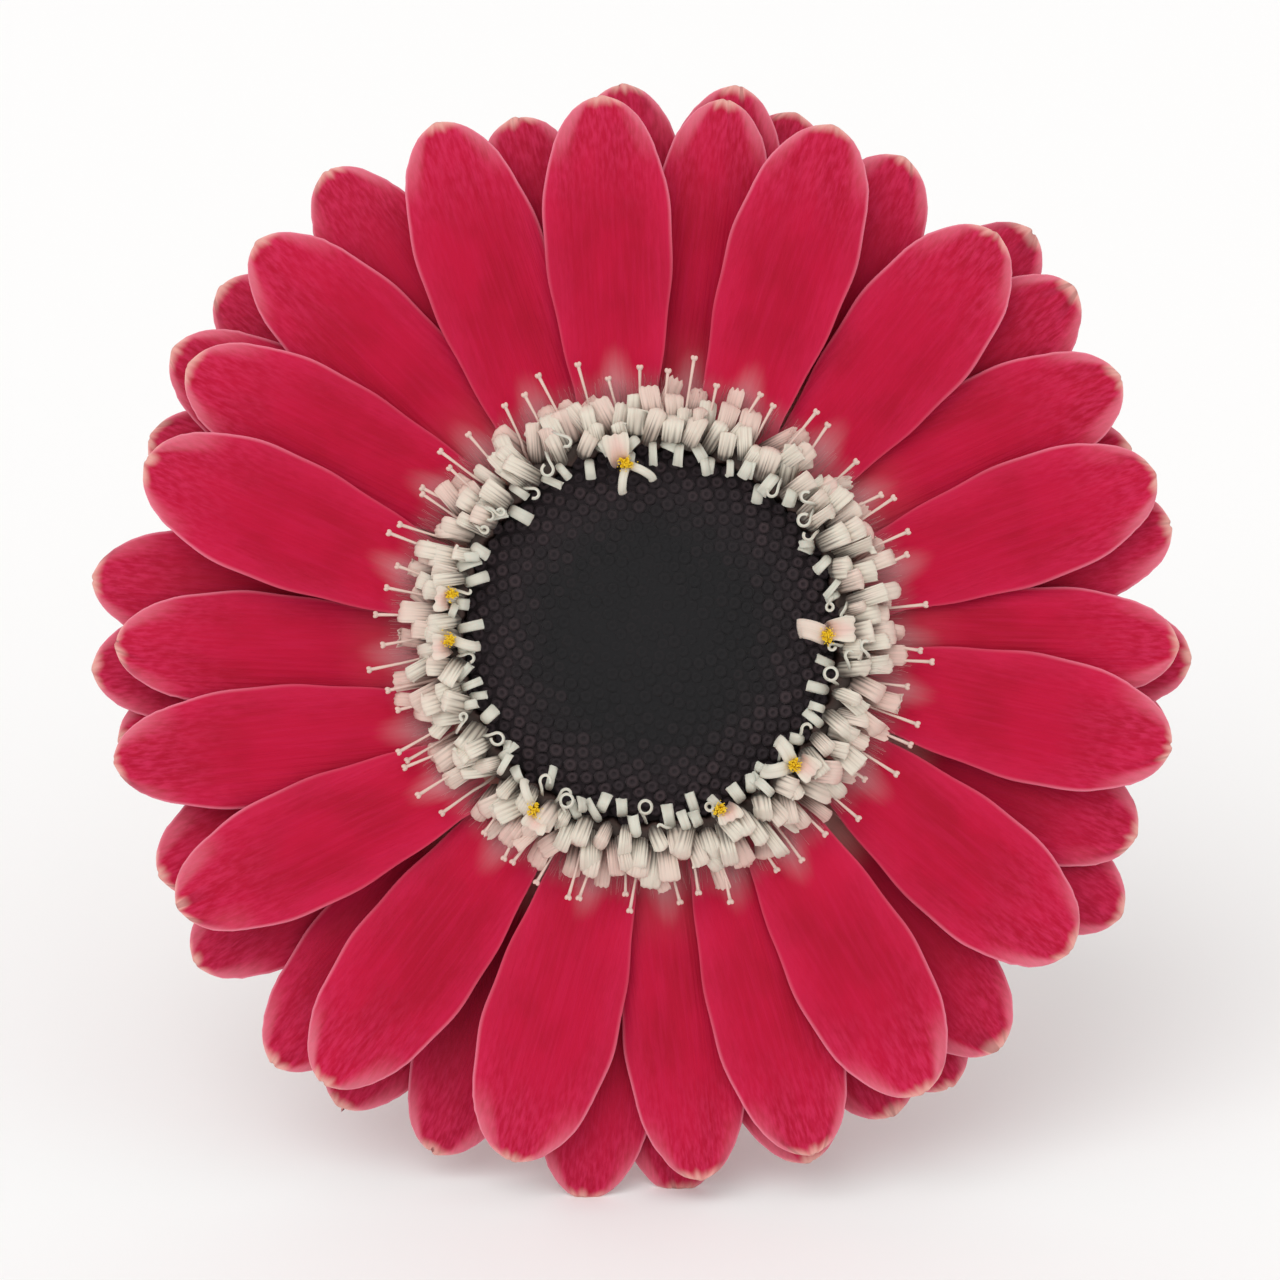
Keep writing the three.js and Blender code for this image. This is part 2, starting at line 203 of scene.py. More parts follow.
class Finish:
    """A material that is written as sums of its links."""

    def __init__(self, name, roughness=0.6, gloss=0.2, sheen=0.0, subsurface=0.0):
        self.material = bpy.data.materials.new(name)
        self.material.use_nodes = True
        self.tree = self.material.node_tree
        self.shader = self.tree.nodes["Principled BSDF"]
        self.marks = {}
        settings = {
            "Roughness": roughness,
            "Specular IOR Level": gloss,
            "Sheen Weight": sheen,
            "Subsurface Weight": subsurface,
            "Subsurface Radius": FLESH_GLOW,
            "Subsurface Scale": GLOW_DEPTH,
        }
        for socket, value in settings.items():
            self.shader.inputs[socket].default_value = value

    def node(self, kind, settings, inputs, out=0):
        """Adds a node: its settings first, then the values or links of its sockets."""
        node = self.tree.nodes.new(kind)
        for name, value in settings.items():
            setattr(node, name, value)
        for key, value in inputs.items():
            if isinstance(value, Link):
                self.tree.links.new(value.socket, node.inputs[key])
            else:
                node.inputs[key].default_value = value
        return Link(self, node.outputs[out])

    def mark(self, name):
        """A number that the mesh keeps at each of its points."""
        if name not in self.marks:
            self.marks[name] = self.node("ShaderNodeAttribute", {"attribute_name": name}, {}, out="Fac")
        return self.marks[name]

    def spot(self, x, y, z):
        """A place in a pattern, from three numbers."""
        return self.node("ShaderNodeCombineXYZ", {}, {"X": x, "Y": y, "Z": z})

    def noise(self, place, detail=2.0):
        inputs = {"Vector": place, "Scale": 1.0, "Detail": detail}
        return self.node("ShaderNodeTexNoise", {}, inputs, out="Fac")

    def between(self, value, low, high):
        """0 below low, 1 above high and a smooth step between them."""
        inputs = {"Value": value, "From Min": low, "From Max": high}
        return self.node("ShaderNodeMapRange", {"interpolation_type": "SMOOTHSTEP"}, inputs)

    def blend(self, share, first, second):
        """The first colour where share is 0, and the second where it is 1."""
        return self.node("ShaderNodeMix", {"data_type": "RGBA"}, {0: share, 6: first, 7: second}, out=2)

    def raise_surface(self, height, strength, distance):
        inputs = {"Height": height, "Strength": strength, "Distance": distance}
        self.feed("Normal", self.node("ShaderNodeBump", {}, inputs))

    def feed(self, socket, link):
        self.tree.links.new(link.socket, self.shader.inputs[socket])


# %% [markdown]
# ## Floor and light
#
# The flower was pictured in a white studio. Area lamps would give the same light, but they have to be
# sized and moved for each view, so two suns with wide, soft discs do their work: a key light from the
# upper left that lays a soft shade under each petal's edge, and a weak fill light from the right. A
# bright world all round stands for the white walls. The floor is a plain pale sheet that reaches so far
# that no edge of it shows.

# %% Floor and studio light
FLOOR_HALF = 30.0  # metres
FLOOR_SHADE = 0.92
WALL_COLOUR = (1.0, 0.99, 0.98, 1.0)
WALL_STRENGTH = 0.83
# Name, direction in the head's frame, softness in degrees, strength.
LAMPS = [
    ("key_light", (-0.35, 0.55, 0.8), 50, 0.95),
    ("fill_light", (0.6, 0.1, 0.7), 70, 0.2),
]


def lay_floor():
    mesh = bpy.data.meshes.new("floor")
    corners = [(x * FLOOR_HALF, y * FLOOR_HALF, 0) for x, y in ((-1, -1), (1, -1), (1, 1), (-1, 1))]
    mesh.from_pydata(corners, [], [(0, 1, 2, 3)])
    floor = bpy.data.objects.new("floor", mesh)
    bpy.context.scene.collection.objects.link(floor)
    pale = Finish("pale_floor", roughness=0.85)
    pale.shader.inputs["Base Color"].default_value = (FLOOR_SHADE, FLOOR_SHADE, FLOOR_SHADE, 1.0)
    mesh.materials.append(pale.material)


def light_studio():
    world = bpy.data.worlds.new("studio")
    world.use_nodes = True
    background = world.node_tree.nodes["Background"]
    background.inputs["Color"].default_value = WALL_COLOUR
    background.inputs["Strength"].default_value = WALL_STRENGTH
    bpy.context.scene.world = world
    for name, direction, softness, strength in LAMPS:
        data = bpy.data.lights.new(name, "SUN")
        data.angle = np.radians(softness)
        data.energy = strength
        away = unit(np.array(direction) @ np.array([head_right, head_up, head_out]))
        side = unit(np.cross(Z_AXIS, away))
        place_object(bpy.data.objects.new(name, data), (0, 0, 0), [side, np.cross(away, side), away])
    bpy.context.scene.view_settings.view_transform = "Standard"


lay_floor()
light_studio()
print("floor and", len(bpy.data.lights), "lamps")

# %% [markdown]
# ## Faces of thin bodies
#
# Petals, lips, lobes and bracts are all thin blades, and a stem or a bud is a tube that closes at both
# ends. Blender could thicken a flat sheet with a modifier, but the edge of a petal is thinner than its
# middle. So a blade is made like a flattened tube: each row of points is a loop that runs over its front
# and back again behind, and one rule joins the rows of both kinds with four-sided faces.

# %% Rows of points and the faces between them
def full_turn(count):
    """Angles, in radians, that divide a circle evenly."""
    return np.linspace(0, 2 * np.pi, count, endpoint=False)


def ring_faces(rows, around):
    """Faces between rows of points that close round a loop."""
    row, column = np.meshgrid(np.arange(rows - 1), np.arange(around), indexing="ij")
    after = (column + 1) % around
    here, there = row * around, (row + 1) * around
    return np.stack([here + column, here + after, there + after, there + column], -1).reshape(-1, 4)


def cap_faces(first, around, outward):
    """Faces that close a loop of points straight across, as a ladder."""
    steps = np.arange(around // 2 - 1)
    rungs = np.stack([steps, around - 1 - steps, around - 2 - steps, steps + 1], -1) + first
    return rungs if outward else rungs[:, ::-1]


def tube_faces(rows, around):
    """Faces of a body of rows that is capped at both ends."""
    ends = [cap_faces(0, around, True), cap_faces((rows - 1) * around, around, False)]
    return np.concatenate([ring_faces(rows, around), *ends])[:, ::-1]


def loop_faces(rows, around):
    """Faces of a body whose last row joins its first, as in a tyre."""
    return (ring_faces(rows + 1, around) % (rows * around))[:, ::-1]


print("a body of 3 rows of 8 points has", len(tube_faces(3, 8)), "faces")

# %% Blades and smooth lines
EDGE_THINNING = 0.55  # how much thinner a blade is at its edges than in its middle


def blade_points(front, thickness):
    """Front grid (rows, columns, 3) to the points of a closed blade, each row a loop round it."""
    normal = np.cross(np.gradient(front, axis=0), np.gradient(front, axis=1))
    normal /= np.linalg.norm(normal, axis=2, keepdims=True) + 1e-9  # a row may shrink to a point
    share = np.linspace(-1, 1, front.shape[1])
    slim = thickness * (1 - EDGE_THINNING * np.abs(share) ** 8)
    back = front - normal * slim[None, :, None]
    return np.concatenate([front, back[:, ::-1]], axis=1)


def mark_grid(values):
    """Numbers on the front grid, repeated for the back of a blade."""
    return np.concatenate([values, values[:, ::-1]], axis=1).ravel()


def smooth_line(corners, count):
    """A curve of count points through a few corners."""
    corners = np.asarray(corners, float)
    padded = np.concatenate([2 * corners[:1] - corners[1:2], corners, 2 * corners[-1:] - corners[-2:-1]])
    places = np.linspace(0, len(corners) - 1, count)
    span = np.minimum(places.astype(int), len(corners) - 2)
    t = (places - span)[:, None]
    a, b, c, d = (padded[span + k] for k in range(4))
    return 0.5 * (2 * b + (c - a) * t + (2 * a - 5 * b + 4 * c - d) * t**2 + (3 * b - a - 3 * c + d) * t**3)


print("middle of a curve through three corners:", smooth_line([(0, 0), (1, 1), (2, 0)], 3)[1])

# %% [markdown]
# ## Gathering thin blades into one mesh
#
# The head has hundreds of blades. As separate objects they would be slow to handle, so the blades of one
# kind are gathered into one mesh. Each point keeps the numbers that the finish needs, such as how far
# along its petal it lies, and so one material can treat every blade in its own way. The finished piece
# rides on the flower's only body and stands for one of its solids.

# %% Gather grids of points
PRESSED = 0.02  # height over the floor of what would otherwise sink into it


class Gathering:
    """Grids of points that become one mesh."""

    def __init__(self, name):
        self.name = name
        self.points = []
        self.faces = []
        self.marks = {}
        self.count = 0

    def add(self, points, faces, **marks):
        """Adds points of the flower's frame, their faces, and numbers for the finish."""
        self.points.append(points)
        self.faces.append(faces + self.count)
        for name, values in marks.items():
            values = np.broadcast_to(np.asarray(values, float), (len(points),))
            self.marks.setdefault(name, []).append(values)
        self.count += len(points)

    def add_body(self, points, **marks):
        """Adds a closed body of the head's frame: rows of points, each a loop round it."""
        rows, around = points.shape[:2]
        self.add(from_head(points.reshape(-1, 3)), tube_faces(rows, around), **marks)

    def mesh(self):
        points = np.concatenate(self.points)
        points[:, 2] = np.maximum(points[:, 2], PRESSED)
        faces = np.concatenate(self.faces)
        mesh = bpy.data.meshes.new(self.name)
        mesh.vertices.add(len(points))
        mesh.vertices.foreach_set("co", (points * MM).astype(np.float32).ravel())
        mesh.loops.add(faces.size)
        mesh.loops.foreach_set("vertex_index", faces.astype(np.int32).ravel())
        mesh.polygons.add(len(faces))
        mesh.polygons.foreach_set("loop_start", np.arange(0, faces.size, 4, dtype=np.int32))
        mesh.update(calc_edges=True)
        mesh.polygons.foreach_set("use_smooth", np.ones(len(faces), bool))
        for name, values in self.marks.items():
            layer = mesh.attributes.new(name, "FLOAT", "POINT")
            layer.data.foreach_set("value", np.concatenate(values).astype(np.float32))
        mesh.validate()
        return mesh

    def piece(self, finish, node, slot):
        """Makes the mesh a piece that stands for a solid."""
        mesh = self.mesh()
        mesh.materials.append(finish.material)
        made = bpy.data.objects.new(self.name, mesh)
        bpy.context.scene.collection.objects.link(made)
        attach(made, "root")
        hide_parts(node)
        print(self.name, "has", len(mesh.polygons), "faces")


# %% [markdown]
# ## Ray florets
#
# What looks like a petal is a floret of its own, a strap with tiny teeth at its tip. A rule could spread
# the straps evenly, but on a real head each one lies where chance put it. So the front ones are listed
# one by one, and those that show behind them after that. The layer says which strap lies over which.

# %% Where each petal lies
# Angle of the tip, its distance from the middle, angle of the foot, width, layer (2 is nearest).
FRONT_PETALS = [
    (95.3, 48.2, 97.8, 11.3, 2),
    (82.0, 48.6, 81.0, 10.6, 0),
    (70.2, 48.2, 68.0, 11.4, 2),
    (49.4, 47.4, 47.3, 11.8, 1),
    (28.8, 48.2, 33.6, 11.2, 0),
    (17.7, 47.4, 15.0, 11.2, 1),
    (358.9, 47.4, 359.1, 10.0, 0),
    (347.9, 47.6, 347.8, 11.5, 1),
    (323.1, 46.9, 326.8, 11.6, 1),
    (300.9, 47.3, 303.2, 11.7, 2),
    (287.5, 48.5, 288.9, 11.0, 1),
    (275.3, 49.0, 273.4, 10.6, 0),
    (255.2, 48.5, 256.7, 12.0, 1),
    (233.8, 49.5, 234.5, 11.5, 1),
    (209.8, 48.4, 215.6, 11.0, 2),
    (193.1, 49.2, 202.7, 10.6, 1),
    (180.9, 48.0, 184.5, 10.3, 0),
    (160.9, 47.4, 165.7, 11.6, 2),
    (149.7, 47.8, 145.2, 10.8, 1),
    (135.0, 50.0, 132.6, 11.2, 0),
    (112.6, 49.6, 117.4, 11.4, 1),
]
BACK_PETAL_WIDTH = 11.5
# Angle of the tip, its distance from the middle, layer.
BACK_PETALS = [
    (92.9, 50.1, -2),
    (80.9, 50.2, -1),
    (74.5, 49.4, -3),
    (62.0, 48.9, -1),
    (46.7, 50.5, -2),
    (39.4, 49.5, -1),
    (21.3, 46.8, -2),
    (12.0, 48.0, -1),
    (357.5, 49.1, -2),
    (348.8, 48.1, -3),
    (337.5, 47.4, -1),
    (329.3, 49.7, -2),
    (310.2, 48.8, -1),
    (303.8, 49.4, -3),
    (296.9, 48.8, -2),
    (286.9, 49.6, -1),
    (273.0, 50.7, -2),
    (263.3, 51.3, -1),
    (247.3, 50.9, -2),
    (236.5, 51.4, -3),
    (228.7, 51.5, -1),
    (215.8, 50.8, -2),
    (206.0, 49.3, -1),
    (191.5, 49.4, -3),
    (183.5, 50.7, -2),
    (174.1, 50.6, -1),
    (158.3, 48.8, -2),
    (148.9, 50.2, -1),
    (140.9, 50.5, -3),
    (124.9, 51.1, -1),
    (104.6, 48.3, -1),
]
back_petals = [(angle, reach, angle, BACK_PETAL_WIDTH, layer) for angle, reach, layer in BACK_PETALS]
all_petals = FRONT_PETALS + back_petals
print(len(FRONT_PETALS), "petals in front,", len(back_petals), "behind")

# %% [markdown]
# ## The outline of a petal
#
# A strap is narrow where it leaves the roots, widest a little past its middle, and rounds off to a blunt
# tip with a shallow notch. It could be drawn as a curve and filled, but a curve gives no rows of points
# to bend afterwards. So its half width is a formula of the distance along it, and chance makes the edge
# a little wavy and, near the tip, a little ragged.

# %% Outline of a petal
PETAL_FOOT = 22.0  # distance from the middle where a petal comes out from under the lips
PETAL_WIDEST = 36.0
ROOT_RADIUS = 16.9
FOOT_SHARE_FRONT, FOOT_SHARE_BEHIND = 0.64, 0.7  # width at the foot, as a share of the widest
PETAL_ROWS, PETAL_COLUMNS = 46, 19
ROW_CROWDING = 1.35  # more than 1 brings the rows closer together towards the tip
RAGGED_LENGTH = 9.0
NOTCH_LENGTH, NOTCH_WIDTH = 2.0, 0.2


def petal_half_width(distance, length, width, layer):
    """It opens from the foot to the widest place, and rounds off from a little before there to the tip."""
    foot_share = FOOT_SHARE_FRONT if layer >= 0 else FOOT_SHARE_BEHIND
    widest = PETAL_WIDEST - PETAL_FOOT
    opening = foot_share + (1 - foot_share) * np.sin(np.pi / 2 * np.clip(distance / (widest + 2), 0, 1))
    rest = np.clip((distance - widest + 3) / (length - widest + 3), 0, 1)
    return 1.03 * width / 2 * opening * np.maximum(1 - rest**2.8, 0.01) ** 0.53


def petal_edge(s, a, half, length, chance):
    """Distances from the middle line, where s is the distance along it and a runs from -1 to 1 across."""
    lateral = half * a * (1 + 0.012 * np.sin(s * 0.9 + chance.uniform(0, 6)))
    right, left = chance.normal(0, 0.045, (PETAL_ROWS, 2)).T[:, :, None]
    ragged = np.where(a > 0, right, left) * np.clip(1 - (length - s) / RAGGED_LENGTH, 0, 1)
    return lateral + ragged * np.abs(a) ** 6 * np.clip(half / 3 - 0.3, 0, 1)


def petal_notch(s, a, lateral, length, chance):
    """How far the tip steps back at its corners and in its notch."""
    near_tip = np.clip(1 - (length - s) / NOTCH_LENGTH, 0, 1)
    depth = chance.uniform(0.0, 0.24)
    off_notch = (lateral - chance.uniform(-0.4, 0.4)) / NOTCH_WIDTH
    return near_tip**2 * (0.1 * a**2 + depth * np.exp(-(off_notch**2)))


widths = petal_half_width(np.array([0.0, 12.0, 24.0, 26.0]), 26.0, 11.0, 2)
print("half widths of a petal from its foot to its tip, mm:", widths.round(2))

# %% [markdown]
# ## The relief of a petal
#
# A petal climbs from its roots and then levels out. It is arched across, has two or three long shallow
# folds, is twisted a little and bends up or down at its end. Sculpting each one would take days, and a
# noise would look like crumpled paper, so each of these is a small formula with its own chance. They
# fade where the petal narrows to its tip, or it would end in a horn.

# %% Relief of a petal
LAYER_STEP = 1.25
PETAL_CLIMB = 2.2
PETAL_THICKNESS = 0.42
ARCH_HEIGHT = 0.38
SLENDER = 2.5  # half width under which arch, folds and waves fade
CURL_FROM = 18.0


def petal_rise(radius, layer):
    """Height of a petal's middle line over its layer."""
    out = np.clip((radius - 20.0) / 30, 0, 1.1)
    return PETAL_CLIMB * np.sin(out * 1.95) - 0.35 * (2 - layer) * out**2


def petal_relief(s, a, half, lateral, length, chance):
    """Height of each point over the petal's middle line."""
    fold = np.cos(np.pi * (chance.uniform(1.8, 2.9) * a + chance.uniform(-0.3, 0.3)))
    fold *= chance.uniform(0.07, 0.15) * np.clip(s / length, 0, 1)
    arch = ARCH_HEIGHT * (1 - a**2)
    twist = chance.uniform(-0.022, 0.022) * lateral
    curl = chance.uniform(-0.35, 0.25) * np.clip((s - CURL_FROM) / (length - CURL_FROM), 0, 1) ** 2
    wave = 0.06 * np.sin(s * 0.55 + chance.uniform(0, 6)) * np.abs(a) ** 3
    broad = np.clip(half / SLENDER, 0, 1)
    return (arch + fold + wave) * broad + twist + curl


print("a petal climbs over its layer by", round(float(petal_rise(44.0, 2)), 2), "mm")

# %% [markdown]
# ## Growing the petals
#
# One function now grows a petal from its line in the list. Every petal has its own seed, so that a
# change to one leaves the others as they are. The numbers that its points keep are its distances along
# and across, its distance to the rim, to the tip and to the head's middle, and whether a point lies on
# the back.

# %% Grow all the petals
PETAL_SEED = 100


def around_axis(radius, degrees, height=0.0):
    """A point at a distance from the head's axis, in a direction round it and at a height over it."""
    turn = np.radians(degrees)
    return np.array([radius * np.cos(turn), radius * np.sin(turn), height])


def petal_front(petal, chance):
    """Front grid of a petal, and the numbers that its finish reads."""
    tip_angle, reach, foot_angle, width, layer = petal
    foot, tip = around_axis(PETAL_FOOT, foot_angle), around_axis(reach, tip_angle)
    length = np.linalg.norm(tip - foot)
    out = (tip - foot) / length
    side = np.cross(Z_AXIS, out)
    root = ROOT_RADIUS - PETAL_FOOT
    distance = root + (length - root) * (1 - (1 - np.linspace(0, 1, PETAL_ROWS)) ** ROW_CROWDING)
    across = np.sin(np.pi / 2 * np.linspace(-1, 1, PETAL_COLUMNS))
    s, a = np.meshgrid(distance, across, indexing="ij")
    half = petal_half_width(s, length, width, layer)
    lateral = petal_edge(s, a, half, length, chance)
    stepped_back = s - petal_notch(s, a, lateral, length, chance)
    place = foot + stepped_back[..., None] * out + lateral[..., None] * side
    radius = np.hypot(place[..., 0], place[..., 1])
    rise = layer * LAYER_STEP + petal_rise(radius, layer)
    place[..., 2] = rise + petal_relief(s, a, half, lateral, length, chance)
    marks = {"along": s, "across": lateral, "rim": np.abs(a), "tip_distance": length - s, "radius": radius}
    return place, marks


def grow_petals():
    gathering = Gathering("petals")
    on_back = np.repeat([0.0, 1.0], PETAL_COLUMNS)
    for index, petal in enumerate(all_petals):
        front, marks = petal_front(petal, np.random.default_rng(PETAL_SEED + index))
        numbers = {name: mark_grid(values) for name, values in marks.items()}
        numbers["behind"] = np.tile(on_back, PETAL_ROWS)
        gathering.add_body(blade_points(front, PETAL_THICKNESS), **numbers, layer=petal[4], chance=index)
    return gathering


petal_gathering = grow_petals()
print("the petals hold", petal_gathering.count, "points")

# %% [markdown]
# ## The crimson of a petal
#
# The red is never flat. Fine veins run along it, and it lightens in thin streaks towards the tip, partly
# with painted sheen. Painted sheen also lightens its edges, painted shade makes it deeper in the layers
# behind, and painted light brightens it near its foot against the shade of the lips. A painted image
# would need the petal unrolled. A mask from the numbers that each point keeps does without, and a noise
# stretched along the petal makes the streaks. A noise place is a vector times three scales: small for the
# direction in which the pattern is long.

# %% Body of a petal
def petal_body(finish, place, streak):
    layer, radius = finish.mark("layer"), finish.mark("radius")
    rim, tip = finish.mark("rim"), finish.mark("tip_distance")
    mottle = finish.noise(place * (0.22, 0.14, 5.1), detail=3.0)
    speckle = finish.noise(place * (3.36, 0.868, 1.82), detail=3.0)
    shade = finish.blend(finish.between(mottle, 0.3, 0.7), colour(166, 6, 42), colour(182, 8, 52))
    shade = finish.blend(finish.between(streak, 0.42, 0.72) * 0.3, shade, colour(192, 22, 70))
    # Painted shade: the petals behind are darker, for the shade that the front ones cast on them.
    shade = finish.blend(finish.between(-layer, 0.0, 2.0) * 0.36, shade, colour(142, 14, 48))
    # Painted light: the crimson is brighter towards the foot, against the shade that the lips cast there.
    inner = 1.0 - finish.between(radius, 23.0, 30.0)
    shade = finish.blend(inner * 0.5, shade, colour(206, 16, 62))
    # Painted sheen: a lighter pink towards the edges, where the petal curves away.
    edge_sheen = finish.between(rim + 0.5 * (speckle - 0.5), 0.45, 1.0)
    shade = finish.blend(edge_sheen * 0.34, shade, colour(206, 34, 80))
    # Lighter speckle near the tip: partly the tip's own paler streaks, partly painted sheen.
    near_tip = 1.0 - finish.between(tip + 6.0 * (mottle - 0.5), 0.0, 13.0)
    return finish.blend(near_tip * finish.between(speckle, 0.3, 0.75) * 0.5, shade, colour(216, 54, 100))


# %% [markdown]
# The foot of a petal fades to a whitish pink under the florets. In the layers behind it is paler still,
# partly its own pale foot and partly painted light against the shade between the front petals. Where a
# style stands over it, fluff shows as a pale haze. Thousands more bristles could be modelled, but at
# this distance they blur, so most of the fluff is a mask: a soft spot round the foot of the style.

# %% Foot of a petal
HAZE_RADIUS = 21.8
HAZE_LENGTHENING = 0.43  # less than 1 makes the haze longer than it is wide


def petal_foot(finish, shade, streak):
    across, radius, layer = finish.mark("across"), finish.mark("radius"), finish.mark("layer")
    uneven = streak - 0.5
    fringe = 1.0 - finish.between(radius + 1.6 * uneven, 21.6, 24.4)
    shade = finish.blend(fringe * 0.3, shade, colour(208, 140, 148))
    lengthwise = (radius - HAZE_RADIUS) * HAZE_LENGTHENING
    from_style = (across * across + lengthwise * lengthwise) ** 0.5 + 0.5 * uneven
    haze = 1.0 - finish.between(from_style, 0.0, 2.1)
    shade = finish.blend(haze * 0.64, shade, colour(214, 152, 156))
    # Paler feet behind: partly their own pale colour, partly painted light against the shade in the gaps.
    root = (1.0 - finish.between(radius, 21.6, 29.0)) * finish.between(-layer, -0.2, 1.0)
    return finish.blend(root * 0.9, shade, colour(216, 168, 158))


# %% [markdown]
# The very rim of a petal carries a painted highlight, strongest towards the tip. The tip is pale, partly of
# itself and partly with painted highlight along its edges, and there the colour breaks up into short rays
# with painted shade in a few dark creases between them. Plain lengthwise streaks would run off the sides
# of the round tip. The rays all point to it, so their noise depends on the distance across divided by the
# distance to the tip. The back of a petal is duller and paler, with broad veins.

# %% Rim, tip and back of a petal
def petal_rim(finish, shade):
    across, chance = finish.mark("across"), finish.mark("chance")
    rim, tip = finish.mark("rim"), finish.mark("tip_distance")
    # Painted highlight along the very rim, faint at the foot and strong near the tip.
    edge = finish.between(rim, 0.93, 1.0) * (0.15 + 0.7 * (1.0 - finish.between(tip, 2.0, 20.0)))
    shade = finish.blend(edge, shade, colour(226, 128, 150))
    ray = finish.noise(finish.spot(across / (tip + 1.5), chance, 0.0) * (2.4, 3.1, 0.0), detail=1.0)
    # Pale edges near the tip: partly the tip's own paler colour, partly painted highlight.
    pale_edge = finish.between(rim + 0.6 * (ray - 0.5), 0.5, 1.0) * (1.0 - finish.between(tip, 0.5, 7.0))
    shade = finish.blend(pale_edge * 0.68, shade, colour(226, 134, 150))
    very_tip = 1.0 - finish.between(tip + 2.0 * (ray - 0.5), 0.0, 1.25)
    shade = finish.blend(very_tip * 0.68, shade, colour(238, 192, 178))
    # Painted shade: dark creases in the folds between the rays of the tip.
    crease_shade = (1.0 - finish.between(ray, 0.3, 0.4)) * (1.0 - finish.between(tip, 0.5, 4.0))
    return finish.blend(crease_shade * 0.4, shade, colour(112, 20, 40))


def petal_back(finish, shade, place):
    vein = finish.noise(place * (1.8, 0.05, 4.7))
    dull = finish.blend(finish.between(vein, 0.35, 0.65), colour(176, 46, 78), colour(206, 96, 118))
    return finish.blend(finish.mark("behind") * 0.6, shade, dull)


def petal_finish():
    finish = Finish("petal", gloss=0.12, sheen=0.02, subsurface=0.08)
    place = finish.spot(finish.mark("across"), finish.mark("along"), finish.mark("chance"))
    streak = finish.noise(place * (2.4, 0.16, 3.7), detail=4.0)
    shade = petal_body(finish, place, streak)
    shade = petal_foot(finish, shade, streak)
    shade = petal_rim(finish, shade)
    finish.feed("Base Color", petal_back(finish, shade, place))
    finish.raise_surface(finish.noise(place * (3.2, 0.08, 2.3)), 0.35, 0.25 * MM)
    return finish


petal_gathering.piece(petal_finish(), "ray_florets", "petal")

# %% [markdown]
# ## Ring florets
#
# Round the disc stands a crowd of small florets with two lips. The outer lip is a short ribbon that
# arches outward. The inner lip is a pair of narrow lobes that roll up over the disc. Both could be cut
# from the same card, and so they are: one kind of sheet follows a line, spreads to its side, and may be
# rounded across, ribbed along and toothed at its end.

# %% A sheet along a line
def sheet(line, side, half_width, barrel=0.0, ribs=0.0, rib_count=5, teeth=0.0, columns=9, thickness=0.2):
    """Points and marks of a ribbon that follows a line and spreads to its side."""
    rows = len(line)
    tangent = unit(np.gradient(line, axis=0))
    side = np.broadcast_to(side, line.shape)
    side = unit(side - tangent * np.sum(side * tangent, axis=1, keepdims=True))
    normal = np.cross(tangent, side)
    across = np.linspace(-1, 1, columns)[None, :, None]
    step = np.linspace(0, 1, rows)[:, None, None]
    rib = np.abs(np.cos(rib_count * np.pi / 2 * (across + 0.1 * np.sin(4 * across + rib_count))))
    lift = ribs * (rib - 1) * (1 - 0.6 * step) - barrel * across**2
    tooth = teeth * (np.cos(3 * np.pi * across) - 1) / 2 * np.clip((step - 0.8) / 0.2, 0, 1)
    width = np.broadcast_to(half_width, (rows,))[:, None, None] * across
    front = line[:, None] + width * side[:, None] + lift * normal[:, None] + tooth * tangent[:, None]
    marks = {
        "along": np.broadcast_to(step[..., 0], front.shape[:2]),
        "across": width[..., 0],
        "valley": np.broadcast_to(1 - rib[..., 0], front.shape[:2]) if ribs else 0 * width[..., 0],
    }
    return blade_points(front, thickness), marks


def standing(corners, degrees, yaw=0.0, tilt=0.0):
    """A line of [distance, height] points turned to its place round the head, and its side."""
    corners = np.asarray(corners, float)
    turn, tilt = np.radians(degrees + yaw), np.radians(tilt)
    reach = np.stack([np.cos(turn), np.sin(turn), 0.0]) * (corners[:, :1] - corners[0, 0])
    line = around_axis(corners[0, 0], degrees) + reach + corners[:, 1:] * Z_AXIS
    side = np.array([-np.sin(turn) * np.cos(tilt), np.cos(turn) * np.cos(tilt), np.sin(tilt)])
    return line, side


def add_sheet(gathering, points, marks, **numbers):
    grids = {name: mark_grid(values) for name, values in marks.items()}
    gathering.add_body(points, **{**grids, **numbers})


trial_line, _ = standing([(17.0, 4.0), (19.0, 8.0), (21.0, 7.0)], 90)
print("a ribbon at the top of the ring leads from", trial_line[0].round(1), "to", trial_line[-1].round(1))

# %% [markdown]
# ## Outer lips
#
# The lips stand in four rows, from a low outer one to a high inner one, and the outer ones are pinker. On
# the real head no two are alike: they lean, turn and reach out differently. Copies of one lip would look
# like a cogwheel, so chance moves the corners of each lip's line and picks its width, turn, ribs and
# teeth.

# %% Lips in four rows
LIP_SEED = 1000
LIP_STEPS, LIP_COLUMNS = 14, 23
LIP_SHARES = np.linspace(0, 1, LIP_STEPS)
LIP_SPREAD = np.interp(LIP_SHARES, [0, 0.4, 0.8, 1], [0.8, 0.95, 1.06, 1.0])
LIP_THICKNESS = 0.18
